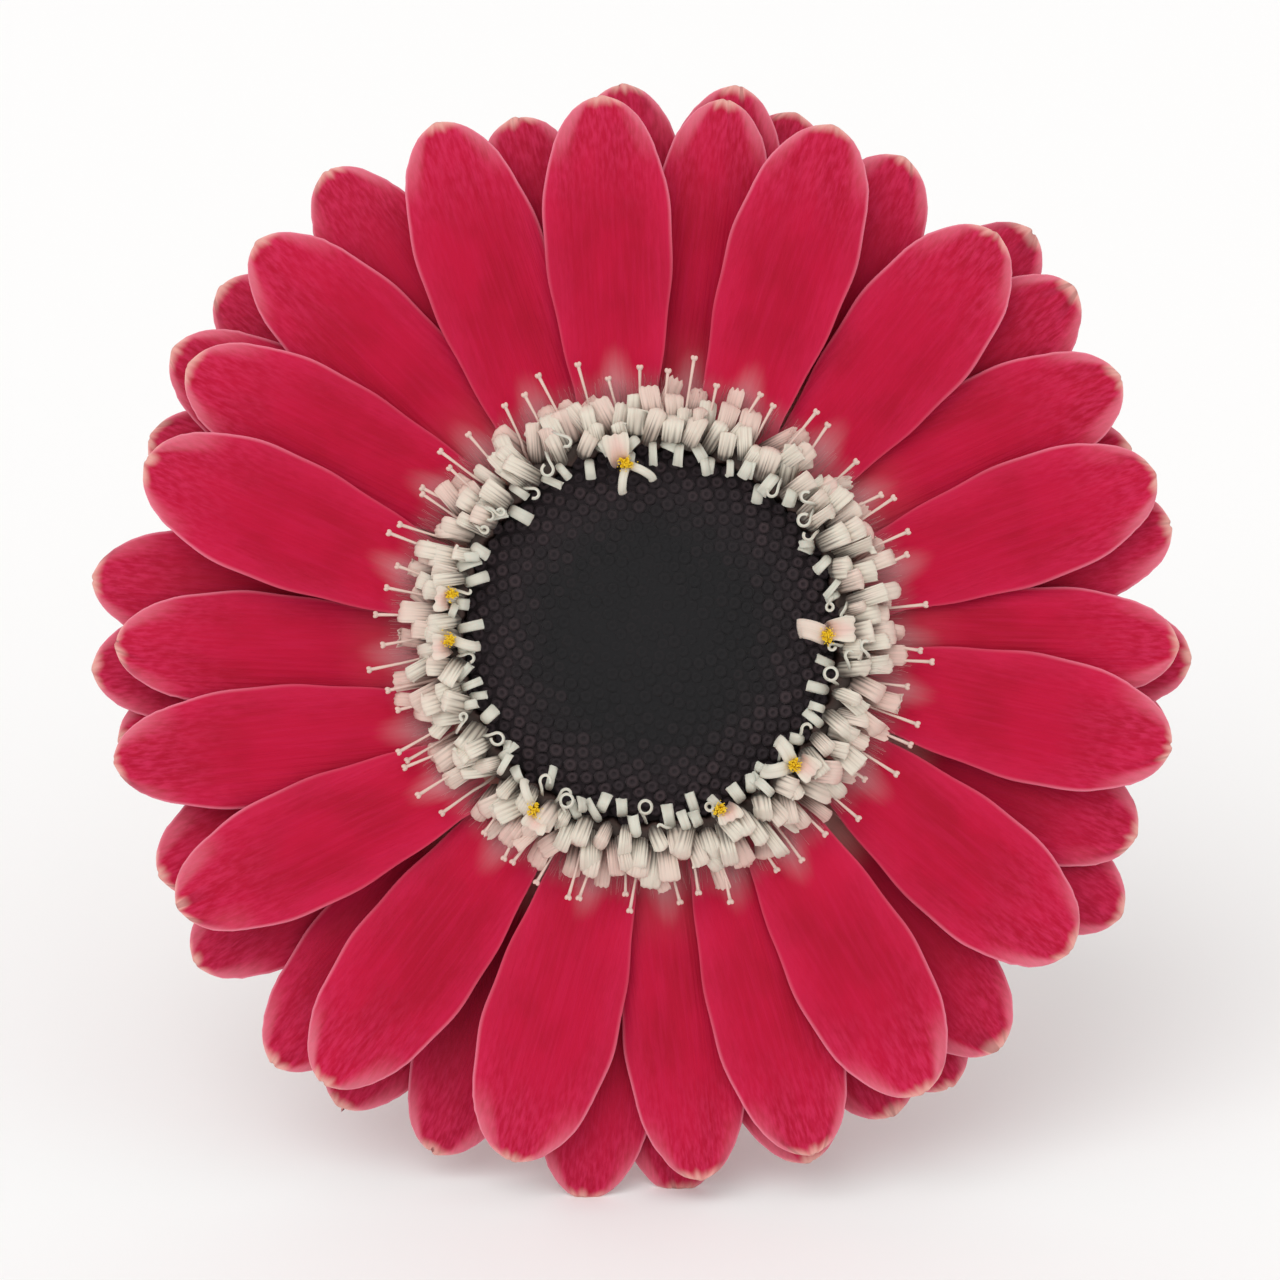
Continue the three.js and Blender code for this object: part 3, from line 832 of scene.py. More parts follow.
# Name, how many, part of a step that the row is turned by, half width, pinkness, and the middle line's
# distances from the axis and heights.
LIP_ROWS = [
    ("outer_lips", 42, 0.3, 0.76, 0.95, (18.0, 18.8, 20.0, 21.4, 22.6, 23.0), (0.5, 3.2, 4.7, 5.1, 4.6, 4.0)),
    ("middle_lips", 58, 0.0, 0.82, 0.5, (17.6, 18.2, 19.2, 20.5, 21.7, 22.1), (2.0, 4.6, 6.1, 6.6, 6.1, 5.3)),
    ("upper_lips", 56, 0.5, 0.82, 0.18, (17.2, 17.7, 18.6, 19.7, 20.8, 21.2), (3.2, 5.4, 6.9, 7.5, 7.1, 6.2)),
    ("inner_lips", 56, 0.2, 0.8, 0.0, (16.8, 17.0, 17.7, 18.6, 19.5, 19.8), (4.4, 6.0, 7.5, 8.3, 8.0, 7.1)),
]


def lip_line(distances, heights, chance):
    """The middle line of one lip: as high and as long as chance has it, with a wayward end."""
    corners = np.stack([distances, heights], -1)
    corners[1:, 1] += chance.uniform(-0.6, 0.4)
    corners[2:, 0] += chance.uniform(-0.8, 0.4)
    corners[-2:] += (chance.uniform(-0.3, 0.35), chance.uniform(-0.4, 0.45))
    corners[-1] += (chance.uniform(-0.6, 0.4), chance.uniform(-0.6, 0.6))
    return smooth_line(corners, LIP_STEPS)


def grow_lips(row):
    name, count, start, half, pink, distances, heights = LIP_ROWS[row]
    gathering = Gathering(name)
    for k in range(count):
        chance = np.random.default_rng(LIP_SEED * (row + 1) + k)
        line = lip_line(distances, heights, chance)
        widths = half * chance.uniform(0.75, 1.25) * LIP_SPREAD
        angle = (k + start) * 360 / count + chance.uniform(-1.8, 1.8)
        line, side = standing(line, angle, chance.normal(0, 18), chance.normal(8, 16))
        points, marks = sheet(
            line,
            side,
            widths,
            barrel=chance.uniform(0.06, 0.38),
            ribs=chance.uniform(0.03, 0.08),
            rib_count=chance.uniform(3, 6.5),
            teeth=chance.uniform(0.1, 0.35),
            columns=LIP_COLUMNS,
            thickness=LIP_THICKNESS,
        )
        tone = np.clip(pink + chance.normal(0, 0.25), 0, 1)
        add_sheet(gathering, points, marks, pink=tone, chance=row * 60 + k)
    return gathering


ring_gatherings = [grow_lips(row) for row in range(len(LIP_ROWS))]
print(sum(row[1] for row in LIP_ROWS), "lips in", len(LIP_ROWS), "rows")

# %% [markdown]
# ## Lobes
#
# The lobes of the inner lips stand round the edge of the disc. Most roll inward and show their backs as
# little pale squares. The others have coiled up like watch springs and are seen from the side. A curve
# object with a bevel could make both, but as sheets they take the same finish as the lips.

# %% Rolled and coiled lobes over the edge of the disc
LOBE_SEED = 5000
LOBE_COUNT = 98
COILED_SHARE = 0.3
LOBE_STEPS, COIL_STEPS = 16, 26
COIL_RADIUS = 0.56
LOBE_SHARES = np.linspace(0, 1, LOBE_STEPS)
DULL_CREAM = -1.0  # a pinkness below 0 dulls the cream of the lips


def coiled_lobe(degrees, out, height, chance):
    """A narrow lobe coiled like a watch spring, seen from its side."""
    angle = np.radians(np.linspace(0, chance.uniform(130, 420), COIL_STEPS))
    size = COIL_RADIUS * (1 - 0.45 * np.linspace(0, 1, COIL_STEPS))
    loop = np.stack([-size * np.sin(angle), size * (np.cos(angle) - 1), 0.001 * np.degrees(angle)], -1)
    tail = chance.uniform(0.5, 1.3)
    flat = np.concatenate([[(tail, 0.2, -0.8), (tail / 2, 0.05, -0.2)], loop])
    flat[:, 1] *= chance.choice([-1, 1])
    turn = np.radians(degrees + chance.uniform(-60, 60))
    spun = flat @ np.array([[np.cos(turn), np.sin(turn), 0], [-np.sin(turn), np.cos(turn), 0], [0, 0, 1]])
    return sheet(around_axis(out, degrees, height) + spun, Z_AXIS, 0.3, columns=4, thickness=0.26)


def rolled_lobe(degrees, out, height, chance):
    """A lobe that rises, bends in over the disc and rolls down."""
    reach, fall = chance.uniform(0.5, 1.0), chance.uniform(0.1, 0.7)
    corners = [(1.25, -2.6), (1.1, -0.8), (0.6, 0.0), (-0.3, 0.1), (-1.0, -0.15 - 0.4 * fall), (-1.1, -fall)]
    line = smooth_line(np.array(corners) * (reach, 1.0) + (out, height), LOBE_STEPS)
    line, side = standing(line, degrees, chance.normal(14, 22), chance.normal(0, 16))
    half = chance.uniform(0.34, 0.56) * np.interp(LOBE_SHARES, [0, 0.3, 1], [0.5, 0.95, 1.05])
    return sheet(line, side, half, barrel=chance.uniform(-0.14, 0.1), columns=7, thickness=0.16)


def grow_lobes():
    gathering = Gathering("rolled_lobes")
    for k in range(LOBE_COUNT):
        chance = np.random.default_rng(LOBE_SEED + k)
        angle = k * 360 / LOBE_COUNT + chance.uniform(-2.4, 2.4)
        out = chance.uniform(15.6, 17.3) - 0.5 * max(0.0, -np.sin(np.radians(angle)))
        height = chance.uniform(6.2, 7.1) + 0.8 * (out - 16.0)
        if chance.random() < COILED_SHARE:
            aside = max(0.0, chance.uniform(-2.0, 2.0))
            points, marks = coiled_lobe(angle, out + aside, height + 0.6 + 0.7 * aside, chance)
        else:
            points, marks = rolled_lobe(angle, out, height, chance)
        marks["along"] = 0.45 + 0.55 * marks["along"]
        add_sheet(gathering, points, marks, pink=DULL_CREAM, chance=300 + k)
    return gathering


ring_gatherings.append(grow_lobes())
print(LOBE_COUNT, "lobes")

# %% [markdown]
# ## Styles
#
# A pale style with a two-lobed knob reaches out over the petals from most of the outer florets. Each
# petal has a style of its own, since it is a floret too. A thin tube that follows a line makes the
# thread, and the same tube, swelling and closing again, makes a bead for each lobe of the knob.

# %% Tubes round a line
THREAD_SIDES = 8
BEAD_RINGS = 7


def add_tube(gathering, line, radii, first=0.0, **numbers):
    """A tube along a line of the head's frame; first is where its finish starts, from 0 to 1."""
    line = np.asarray(line, float)
    tangent = unit(np.gradient(line, axis=0))
    helper = np.where(np.abs(tangent[:, 2:]) < 0.9, [Z_AXIS], [head_right])
    side = unit(np.cross(helper, tangent))
    turn = full_turn(THREAD_SIDES)[None, :, None]
    circle = np.cos(turn) * side[:, None] + np.sin(turn) * np.cross(tangent, side)[:, None]
    points = line[:, None] + np.asarray(radii, float)[:, None, None] * circle
    along = np.repeat(np.linspace(first, 1, len(line)), THREAD_SIDES)
    gathering.add_body(points, along=along, across=0.0, valley=0.0, **numbers)


def add_bead(gathering, middle, direction, radius, half_length, **numbers):
    """A small rounded body along a direction."""
    turn = np.linspace(-np.pi / 2 + 0.2, np.pi / 2 - 0.2, BEAD_RINGS)
    line = middle + np.sin(turn)[:, None] * half_length * unit(direction)
    add_tube(gathering, line, radius * np.cos(turn), first=0.9, **numbers)


print("a thread has", THREAD_SIDES, "sides, a bead", BEAD_RINGS, "rings")

# %% Styles with their knobs
STYLE_SEED = 7000
STYLE_SPACING = 3.2  # the least angle between two styles that show
STYLE_GAP = 8.0  # a wider gap than this holds the style of a smaller floret
STYLE_STEPS = 14
KNOB_RADIUS, KNOB_HALF_LENGTH, KNOB_OFFSET = 0.21, 0.27, 0.1


def style_angles():
    """Each petal's foot has a style; of two that crowd each other the first shows, and gaps are filled."""
    angles = []
    for petal in all_petals:
        gaps = [abs((petal[2] - other + 180) % 360 - 180) for other in angles]
        if not gaps or min(gaps) > STYLE_SPACING:
            angles.append(petal[2])
    angles = sorted(angle % 360 for angle in angles)
    for here, after in zip(list(angles), angles[1:] + [angles[0] + 360]):
        if after - here > STYLE_GAP:
            angles.append((here + after) / 2)
    return angles


def grow_styles():
    gathering = Gathering("styles")
    radii = np.interp(np.linspace(0, 1, STYLE_STEPS), [0, 0.8, 1], [0.16, 0.11, 0.16])
    for k, angle in enumerate(style_angles()):
        chance = np.random.default_rng(STYLE_SEED + k)
        reach, height = chance.uniform(22.5, 25.1), chance.uniform(4.4, 5.4)
        bend = chance.uniform(-3, 3)
        corners = [
            around_axis(17.6, angle, 3.5),
            around_axis(19.6, angle + bend * 0.2, height + 0.2),
            around_axis(21.0, angle + bend * 0.6, height + 0.3),
            around_axis(reach, angle + bend, height),
        ]
        line = smooth_line(corners, STYLE_STEPS)
        add_tube(gathering, line, radii, first=0.3, pink=0.75, chance=500 + k)
        out = unit(line[-1] - line[-2])
        side = np.cross(Z_AXIS, out)
        for way in (-1, 1):
            middle = line[-1] + (out + side * way) * KNOB_OFFSET
            direction = out + side * way * 0.5
            add_bead(gathering, middle, direction, KNOB_RADIUS, KNOB_HALF_LENGTH, pink=1.0, chance=560 + k)
    return gathering


ring_gatherings.append(grow_styles())
print(len(style_angles()), "styles show")

# %% [markdown]
# ## Opened florets
#
# Seven florets have opened further. Their outer lip spreads like a small fan with a pink throat, and from
# five of them one or two straps bend in over the disc. A rule could open every few florets, but these
# stand where the picture shows them, so they are listed one by one, like the petals. Lip and strap are
# sheets along a line again.

# %% Florets that have opened
# Angle, distance of the anthers from the middle, length of the outer lip, which straps show and
# half their width.
OPEN_FLORETS = [
    (98.0, 15.3, 2.7, (0, 1), 0.38),
    (0.0, 15.6, 2.4, (0,), 0.86),
    (-42.0, 17.0, 1.9, (0, 1), 0.62),
    (-68.0, 16.4, 1.4, (), 0.0),
    (-123.6, 18.4, 1.6, (1,), 0.4),
    (181.0, 17.6, 1.6, (0,), 0.45),
    (168.0, 17.8, 1.4, (), 0.0),
]
THROAT_HEIGHT = 7.4
# Middle line of a strap: how far in over the disc, how far aside, and height over the throat.
STRAPS = [
    [(0.0, 0.0, -1.0), (0.4, 0.1, 0.5), (1.3, 0.45, 0.9), (2.2, 0.65, 0.6), (2.7, 0.6, -0.1)],
    [(0.0, 0.0, -1.0), (0.3, -0.5, 0.5), (0.8, -1.3, 0.9), (1.4, -2.0, 0.5), (1.9, -2.2, -0.1)],
]
STRAP_STEPS = 18
BROAD_STRAP = 0.7  # a strap of a greater half width than this is pink


def add_open_lip(gathering, degrees, out, length, number):
    corners = [
        (out + 0.1, 4.0),
        (out + 0.3, THROAT_HEIGHT),
        (out + length * 0.5, THROAT_HEIGHT + 1.2),
        (out + length, THROAT_HEIGHT + 1.3),
    ]
    widths = np.interp(LIP_SHARES, [0, 0.35, 0.8, 1], [0.4, 0.75, 1.15, 1.1])
    line, side = standing(smooth_line(corners, LIP_STEPS), degrees + 2)
    points, marks = sheet(line, side, widths, barrel=-0.3, ribs=0.04, teeth=0.16, columns=LIP_COLUMNS)
    middle = 1 - np.abs(marks["across"]) / 1.2
    throat = mark_grid(np.clip(1.8 * middle * (1.3 - marks["along"]), 0, 1))
    marks["along"] = 0.5 + 0.5 * marks["along"]
    add_sheet(gathering, points, marks, pink=throat, chance=700 + number)


def add_strap(gathering, degrees, out, strap, half, number):
    directions = np.array([around_axis(-1.0, degrees), around_axis(1.0, degrees + 90), Z_AXIS])
    path = np.array(STRAPS[strap]) @ directions
    line = smooth_line(around_axis(out, degrees, THROAT_HEIGHT) + path, STRAP_STEPS)
    side = np.cross(Z_AXIS, np.gradient(line, axis=0)) + 1e-6  # never quite nothing where the line is upright
    points, marks = sheet(line, side, half, barrel=0.14, columns=7)
    marks["along"] = 0.6 + 0.4 * marks["along"]
    tone = -0.5 if half < BROAD_STRAP else 0.45
    add_sheet(gathering, points, marks, pink=tone, chance=720 + number)


def grow_open_florets():
    gathering = Gathering("opened_florets")
    for k, (degrees, out, length, straps, strap_half) in enumerate(OPEN_FLORETS):
        add_open_lip(gathering, degrees, out, length, k)
        for strap in straps:
            add_strap(gathering, degrees, out, strap, strap_half, k)
    return gathering


ring_gatherings.append(grow_open_florets())
print(len(OPEN_FLORETS), "opened florets,", sum(len(floret[3]) for floret in OPEN_FLORETS), "straps")

# %% [markdown]
# The anthers of a floret stand together as a tube that has split into five at its top. Pollen clings to
# them as coarse dust. A rough bump could stand for the dust, but grains that are real bodies break up
# the outline, as they do in the picture.

# %% Anthers and pollen
ANTHER_SEED = 9500
ANTHER_COUNT = 5
ANTHER_RADII = [0.18, 0.2, 0.2, 0.2, 0.2, 0.18, 0.13, 0.04]
POLLEN_COUNT = 110
POLLEN_RADIUS, POLLEN_HALF_LENGTH = 0.05, 0.075


def grow_anthers():
    gathering = Gathering("anthers")
    for k, (degrees, out, *_) in enumerate(OPEN_FLORETS):
        chance = np.random.default_rng(ANTHER_SEED + k)
        for turn in full_turn(ANTHER_COUNT):
            ray = np.array([np.cos(turn), np.sin(turn), 0.0])
            foot = around_axis(out, degrees, THROAT_HEIGHT - 1.2) + 0.16 * ray
            top = foot + chance.uniform(0.15, 0.6) * ray + chance.uniform(2.0, 2.9) * Z_AXIS
            line = smooth_line([foot, (foot + top) / 2 - 0.08 * ray, top], len(ANTHER_RADII))
            add_tube(gathering, line, ANTHER_RADII, pink=0.0, chance=k)
        for _ in range(POLLEN_COUNT):
            spot = around_axis(out, degrees, THROAT_HEIGHT + chance.uniform(0.6, 1.7))
            spot[:2] += chance.normal(0, 0.27, 2)
            way, tone = chance.normal(0, 1, 3), chance.uniform(0, 9)
            add_bead(gathering, spot, way, POLLEN_RADIUS, POLLEN_HALF_LENGTH, pink=0.0, chance=tone)
    return gathering


anther_gathering = grow_anthers()
print("each opened floret has", ANTHER_COUNT, "anthers and", POLLEN_COUNT, "grains of pollen")

# %% [markdown]
# ## Bristles
#
# Under the lips stand the bristles that a seed will later fly on. They are fine, straight and pale, and
# their ends show round each style over the foot of the petal. Blender's hair would have to be turned
# into a mesh first, so each bristle is a three-sided spike, and all of them are worked out in one sum.

# %% Spikes, for bristles and hairs
SPIKE_FACES = np.array([[0, 1, 4, 3], [1, 2, 5, 4], [2, 0, 3, 5]])
SPIKE_MARKS = [0, 0, 0, 1, 1, 1]  # 0 at the three points of the foot, 1 at those of the tip
SIDEWAYS = [0.3, 0.5, 0.81]  # any direction that no spike points in


def spikes(feet, tips, foot_radius, tip_radius):
    """Points and faces of a three-sided spike from each foot to its tip."""
    way = unit(tips - feet)
    side = unit(np.cross(way, SIDEWAYS))
    other = np.cross(way, side)
    rings = []
    for places, radius in ((feet, foot_radius), (tips, tip_radius)):
        for turn in full_turn(3):
            rings.append(places + radius * (np.cos(turn) * side + np.sin(turn) * other))
    points = np.stack(rings, 1).reshape(-1, 3)
    faces = SPIKE_FACES + 6 * np.arange(len(feet))[:, None, None]
    return points, faces.reshape(-1, 4)


print("a spike has", len(SPIKE_FACES), "faces")

# %% Bristles under the lips
BRISTLE_SEED = 4242
BRISTLE_COUNT = 1400
BRISTLE_FOOT_RADIUS, BRISTLE_TIP_RADIUS = 0.03, 0.01


def grow_bristles():
    gathering = Gathering("bristles")
    chance = np.random.default_rng(BRISTLE_SEED)
    count = BRISTLE_COUNT
    turn = chance.choice(style_angles(), count) + chance.normal(0, 1.6, count)
    feet = around_axis(chance.uniform(18.6, 20.0, count), turn, chance.uniform(1.6, 3.2, count)).T
    turn = turn + chance.normal(0, 1.2, count)
    tips = around_axis(chance.uniform(21.2, 23.4, count), turn, chance.uniform(3.2, 4.8, count)).T
    points, faces = spikes(feet, tips, BRISTLE_FOOT_RADIUS, BRISTLE_TIP_RADIUS)
    gathering.add(from_head(points), faces, along=np.tile(SPIKE_MARKS, count))
    return gathering


bristle_gathering = grow_bristles()
print(BRISTLE_COUNT, "bristles")

# %% [markdown]
# ## Finishes of the ring
#
# A lip is cream where it arches into the light. Painted shade makes it dark grey where it drops into the
# crowd and darker in the grooves between its ribs, and grey streaks towards its foot are partly its own
# tone and partly painted shade. Pinkness is a number that each ribbon carries, so one finish serves lips,
# lobes and styles. The anthers and the bristles have finishes of their own, each a short blend from foot
# to tip.

# %% Finish of lips, lobes and styles
def lip_finish():
    finish = Finish("lip", sheen=0.05, subsurface=0.1)
    along, across, valley = finish.mark("along"), finish.mark("across"), finish.mark("valley")
    pink, chance = finish.mark("pink"), finish.mark("chance")
    place = finish.spot(across, along, chance)
    streak = finish.noise(place * (5.5, 0.7, 2.9), detail=3.0)
    cloud = finish.noise(place * (0.6, 1.4, 4.3))
    shade = finish.blend(finish.between(pink, 0.0, 1.0) * 0.85, colour(219, 210, 195), colour(221, 184, 174))
    shade = finish.blend(finish.between(cloud, 0.5, 0.8) * 0.28, shade, colour(224, 188, 180))
    shade = finish.blend(finish.between(-pink, 0.0, 1.0), shade, colour(208, 205, 192))
    # Painted shade in the grooves between the ribs, fading towards the lip's end.
    groove_shade = valley**1.6 * (1.0 - 0.68 * finish.between(along, 0.4, 0.8))
    shade = finish.blend(groove_shade * finish.between(streak, 0.3, 0.7) * 0.56, shade, colour(136, 122, 108))
    # Grey streaks towards the foot: partly the lip's own streaked tone, partly painted shade.
    streaks_and_shade = finish.between(streak, 0.45, 0.75) * (1.0 - 0.5 * finish.between(along, 0.5, 0.9))
    shade = finish.blend(streaks_and_shade * 0.42, shade, colour(168, 152, 136))
    # Painted shade: the lip turns dark grey where it drops into the crowd of tubes.
    deep = 1.0 - finish.between(along + 0.6 * (streak - 0.5) - 0.3 * valley, 0.0, 0.52)
    shade = finish.blend(deep * 0.85, shade, colour(92, 82, 76))
    finish.feed("Base Color", shade)
    finish.raise_surface(streak, 0.35, 0.15 * MM)
    return finish


cream = lip_finish()
for gathering in ring_gatherings:
    gathering.piece(cream, "ring_florets", "floret")


# %% Finishes of anthers and bristles
def anther_finish():
    finish = Finish("anther", roughness=0.5)
    along = finish.mark("along")
    grain = finish.noise(finish.spot(along, finish.mark("chance"), 0.0) * (15.0, 3.0, 0.0))
    shade = finish.blend(finish.between(along, 0.4, 0.9), colour(196, 148, 16), colour(240, 200, 34))
    shade = finish.blend(finish.between(grain, 0.5, 0.7) * 0.5, shade, colour(250, 224, 90))
    finish.feed("Base Color", shade)
    return finish


def spike_finish(name, foot_colour, tip_colour):
    finish = Finish(name)
    finish.feed("Base Color", finish.blend(finish.mark("along"), foot_colour, tip_colour))
    return finish


bristle = spike_finish("bristle", colour(128, 100, 94), colour(214, 160, 160))
anther_gathering.piece(anther_finish(), "ring_florets", "floret")
bristle_gathering.piece(bristle, "ring_florets", "floret")

# %% [markdown]
# ## Tubes of the florets and roots of the petals
#
# Between the lips the eye falls into the crowd of floret tubes, and behind them the petals join a ring
# of roots, which closes the head between bracts and petals when it is seen from the side. Neither needs
# forms of its own. Two bodies turned round the head's axis, with upright flutes, fill the space and
# carry the lips and the petals.

# %% Fluted rings
FLUTE_DEPTH = 0.22
# A profile is a list of distances from the axis and heights.
TUBES_PROFILE = [
    (12.6, -4.6), (14.4, -4.6), (16.2, 0.0), (18.2, 3.2), (18.3, 4.6), (17.9, 5.4), (17.3, 5.2),
    (16.9, 4.2), (16.6, 2.6),
]
ROOTS_PROFILE = [
    (15.2, -5.1), (17.0, -5.1), (17.5, -3.8), (18.1, -2.2), (19.3, 1.4), (19.4, 2.9), (18.5, 2.9),
    (17.4, 0.5), (16.2, -2.4),
]
TUBES_FLUTES, TUBES_SIDES = 55, 330
ROOTS_FLUTES, ROOTS_SIDES = 52, 416


def turned(profile, around, flutes=0, depth=0.0):
    """Rings of points of a profile turned round the head's axis."""
    profile = np.asarray(profile, float)
    turn = full_turn(around)
    radius = profile[:, :1] + depth * np.cos(flutes * turn)[None]
    height = np.broadcast_to(profile[:, 1:], radius.shape)
    return np.stack([radius * np.cos(turn), radius * np.sin(turn), height], -1)


def fluted_ring(name, profile, flutes, around):
    gathering = Gathering(name)
    points = turned(profile, around, flutes, FLUTE_DEPTH).reshape(-1, 3)
    turn = np.tile(full_turn(around), len(profile))
    gathering.add(from_head(points), loop_faces(len(profile), around), height=points[:, 2], turn=turn)
    return gathering


tube_gathering = fluted_ring("floret_tubes", TUBES_PROFILE, TUBES_FLUTES, TUBES_SIDES)
root_gathering = fluted_ring("petal_roots", ROOTS_PROFILE, ROOTS_FLUTES, ROOTS_SIDES)
print("tubes and roots hold", tube_gathering.count + root_gathering.count, "points")

# %% [markdown]
# The tubes are brown below and a dark grey above. The roots change from the green of the cup to the dull
# pink of the petals' feet. Both are shades between two heights, with a third one in upright streaks: a
# noise that varies quickly with the angle round the head and slowly with the height.

# %% Finishes of tubes and roots
def tube_finish():
    finish = Finish("tube", roughness=0.8)
    height = finish.mark("height")
    streak = finish.noise(finish.spot(finish.mark("turn"), height, 0.0) * (60.0, 0.4, 0.0))
    shade = finish.blend(finish.between(height, 3.0, 6.0), colour(112, 86, 80), colour(66, 60, 56))
    shade = finish.blend(finish.between(streak, 0.5, 0.7) * 0.35, shade, colour(110, 98, 90))
    finish.feed("Base Color", shade)
    return finish


def root_finish():
    finish = Finish("root", roughness=0.7)
    height = finish.mark("height")
    streak = finish.noise(finish.spot(finish.mark("turn"), height, 0.0) * (24.0, 0.3, 0.0), detail=3.0)
    shade = finish.blend(finish.between(height, -4.5, 1.0), colour(132, 136, 78), colour(186, 124, 116))
    shade = finish.blend(finish.between(streak, 0.45, 0.7) * 0.5, shade, colour(196, 176, 140))
    finish.feed("Base Color", shade)
    return finish


tube_gathering.piece(tube_finish(), "ring_florets", "floret")
root_gathering.piece(root_finish(), "ray_florets", "petal")

# %% [markdown]
# ## Disc buds
#
# The dark middle is hundreds of closed florets in two families of spirals. A sunflower rule lays them
# out: each bud turns on from the last by the golden angle. A bud is a short peg with a rounded lip and
# a dimple, which is why the outer ones show as tiny rings; towards the middle they are blacker.

# %% Grow the buds
BUD_SEED = 20000
BUD_COUNT = 640
BUD_SIDES = 10
GOLDEN_ANGLE = np.pi * (3 - np.sqrt(5))
DISC_RADIUS = 16.9
DOME_TOP, DOME_RIM = 6.2, 3.9
# Radius and height of the rings of points of a bud, from its foot over its lip into its dimple.
BUD_SHAPE = np.array([
    (0.58, -0.9), (0.62, -0.25), (0.56, 0.12), (0.42, 0.28), (0.28, 0.28), (0.15, 0.16), (0.05, 0.1),
])
# Each ring's share of the lip also sets how much painted highlight it takes.
BUD_LIP = [0.0, 0.1, 0.6, 1.0, 0.9, 0.2, 0.0]  # how much each ring belongs to the lip


def dome_height(radius):
    return DOME_TOP - (DOME_TOP - DOME_RIM) * (radius / DISC_RADIUS) ** 2


def bud_points(radius, angle, chance):
    """Rings of points of a bud at its place on the dome. The inner buds are the lower ones."""
    size = chance.uniform(0.88, 1.08) * np.interp(radius, [0, 9, 16], [1.04, 1.02, 1.0])
    stand = np.interp(radius, [0, 9, 14], [0.35, 0.5, 1.0])
    lean = 0.25 * radius / DISC_RADIUS
    turn = full_turn(BUD_SIDES)
    ring = size * BUD_SHAPE[:, :1] * (1 + 0.04 * np.cos(5 * turn))
    height = stand * (size * BUD_SHAPE[:, 1:] + chance.uniform(-0.09, 0.09)) + 0 * ring
    x = radius + ring * np.cos(turn) + lean * height
    y = ring * np.sin(turn)
    spun = [x * np.cos(angle) - y * np.sin(angle), x * np.sin(angle) + y * np.cos(angle)]
    return np.stack([*spun, dome_height(radius) + height], -1)


def grow_buds():
    gathering = Gathering("buds")
    for k in range(BUD_COUNT):
        chance = np.random.default_rng(BUD_SEED + k)
        radius = DISC_RADIUS * np.sqrt((k + 0.5) / BUD_COUNT) - 0.25
        points = bud_points(radius, k * GOLDEN_ANGLE, chance)
        gathering.add_body(points, ring=np.repeat(BUD_LIP, BUD_SIDES), radius=radius, chance=k)
    return gathering


bud_gathering = grow_buds()
print(BUD_COUNT, "buds")

# %% [markdown]
# The buds alone would let the light through between them. On the real head they grow from one arched
# floor, and so a smooth dome, turned like the ring of tubes, closes the gaps. It lies a little under the
# tops of the buds.

# %% Dome under the buds
DOME_SIDES = 64
DOME_RINGS = 12


def grow_dome():
    gathering = Gathering("disc_dome")
    out = DISC_RADIUS * np.linspace(0.97, 0.02, DOME_RINGS)
    height = dome_height(out) + np.interp(out, [8, 14], [0.06, -0.1])
    points = turned([(0.3, -4.6), (12.0, -4.6), (14.0, 0.0), *zip(out, height)], DOME_SIDES)
    radius = np.hypot(points[..., 0], points[..., 1]).ravel()
    gathering.add_body(points, ring=0.0, radius=radius, chance=0.0)
    return gathering


dome_gathering = grow_dome()
print("the dome rises from", round(dome_height(DISC_RADIUS), 1), "to", DOME_TOP, "mm over the head's middle")

# %% [markdown]
# A closed bud is almost black. The lips of the outer ones carry a painted highlight of dull brownish
# pink, some more than others. A dark picture of the disc could be projected on it, but the number that
# each ring of a bud keeps is enough: it is 1 on the lip and 0 at the foot and in the dimple.

# %% Bud finish
def bud_finish():
    finish = Finish("bud", roughness=0.7, sheen=0.1)
    ring, radius, chance = finish.mark("ring"), finish.mark("radius"), finish.mark("chance")
    vary = finish.noise(finish.spot(chance, radius, chance) * (0.37, 0.3, 0.11))
    outer = finish.between(radius + 5.0 * (vary - 0.5), 8.0, 16.0)
    shade = finish.blend(outer, colour(20, 19, 21), colour(42, 33, 37))
    # Painted highlight on the lip of each bud, strongest on the outer ones.
    lip_highlight = ring * finish.between(vary, 0.3, 0.75) * (0.1 + 0.9 * outer)
    finish.feed("Base Color", finish.blend(lip_highlight * 0.42, shade, colour(74, 58, 61)))
    return finish


dark = bud_finish()
bud_gathering.piece(dark, "disc_buds", "bud")
dome_gathering.piece(dark, "disc_buds", "bud")

# %% [markdown]
# ## The line of the stem
#
# The picture hides the stem behind the head, so it follows what every cut gerbera has: a leafless stalk
# that bends down from the head and lies along the surface. A curve object could carry it, but the hairs
# need the same points. So its line is worked out once, as the solid's: one curve down to the surface,
# and a straight run to the cut.

# %% The stem's line
STEM_RADIUS = 3.35
STEM_LIES_FROM = 20.0
STEM_END = 199.0
NECK_Z = -17.5
BENT_STEPS, FLAT_STEPS = 90, 60


def pulled_curve(corners, count):
    """A curve that leaves its first corner towards the second and comes to the last from the third."""
    a, b, c, d = corners
    t = np.linspace(0, 1, count)[:, None]
    return (1 - t) ** 3 * a + 3 * (1 - t) ** 2 * t * b + 3 * (1 - t) * t**2 * c + t**3 * d


def stem_line():
    neck = head_middle + head_out * (NECK_Z + 2)
    touchdown = np.array([0.0, STEM_LIES_FROM, STEM_RADIUS * 0.93])
    before = touchdown - np.array([0.0, 90.0, 0.0])
    curve = pulled_curve([neck, neck - head_out * 60, before, touchdown], BENT_STEPS)
    flat = np.linspace(touchdown, [0.0, STEM_END, touchdown[2]], FLAT_STEPS)[1:]
    return np.concatenate([curve, flat])


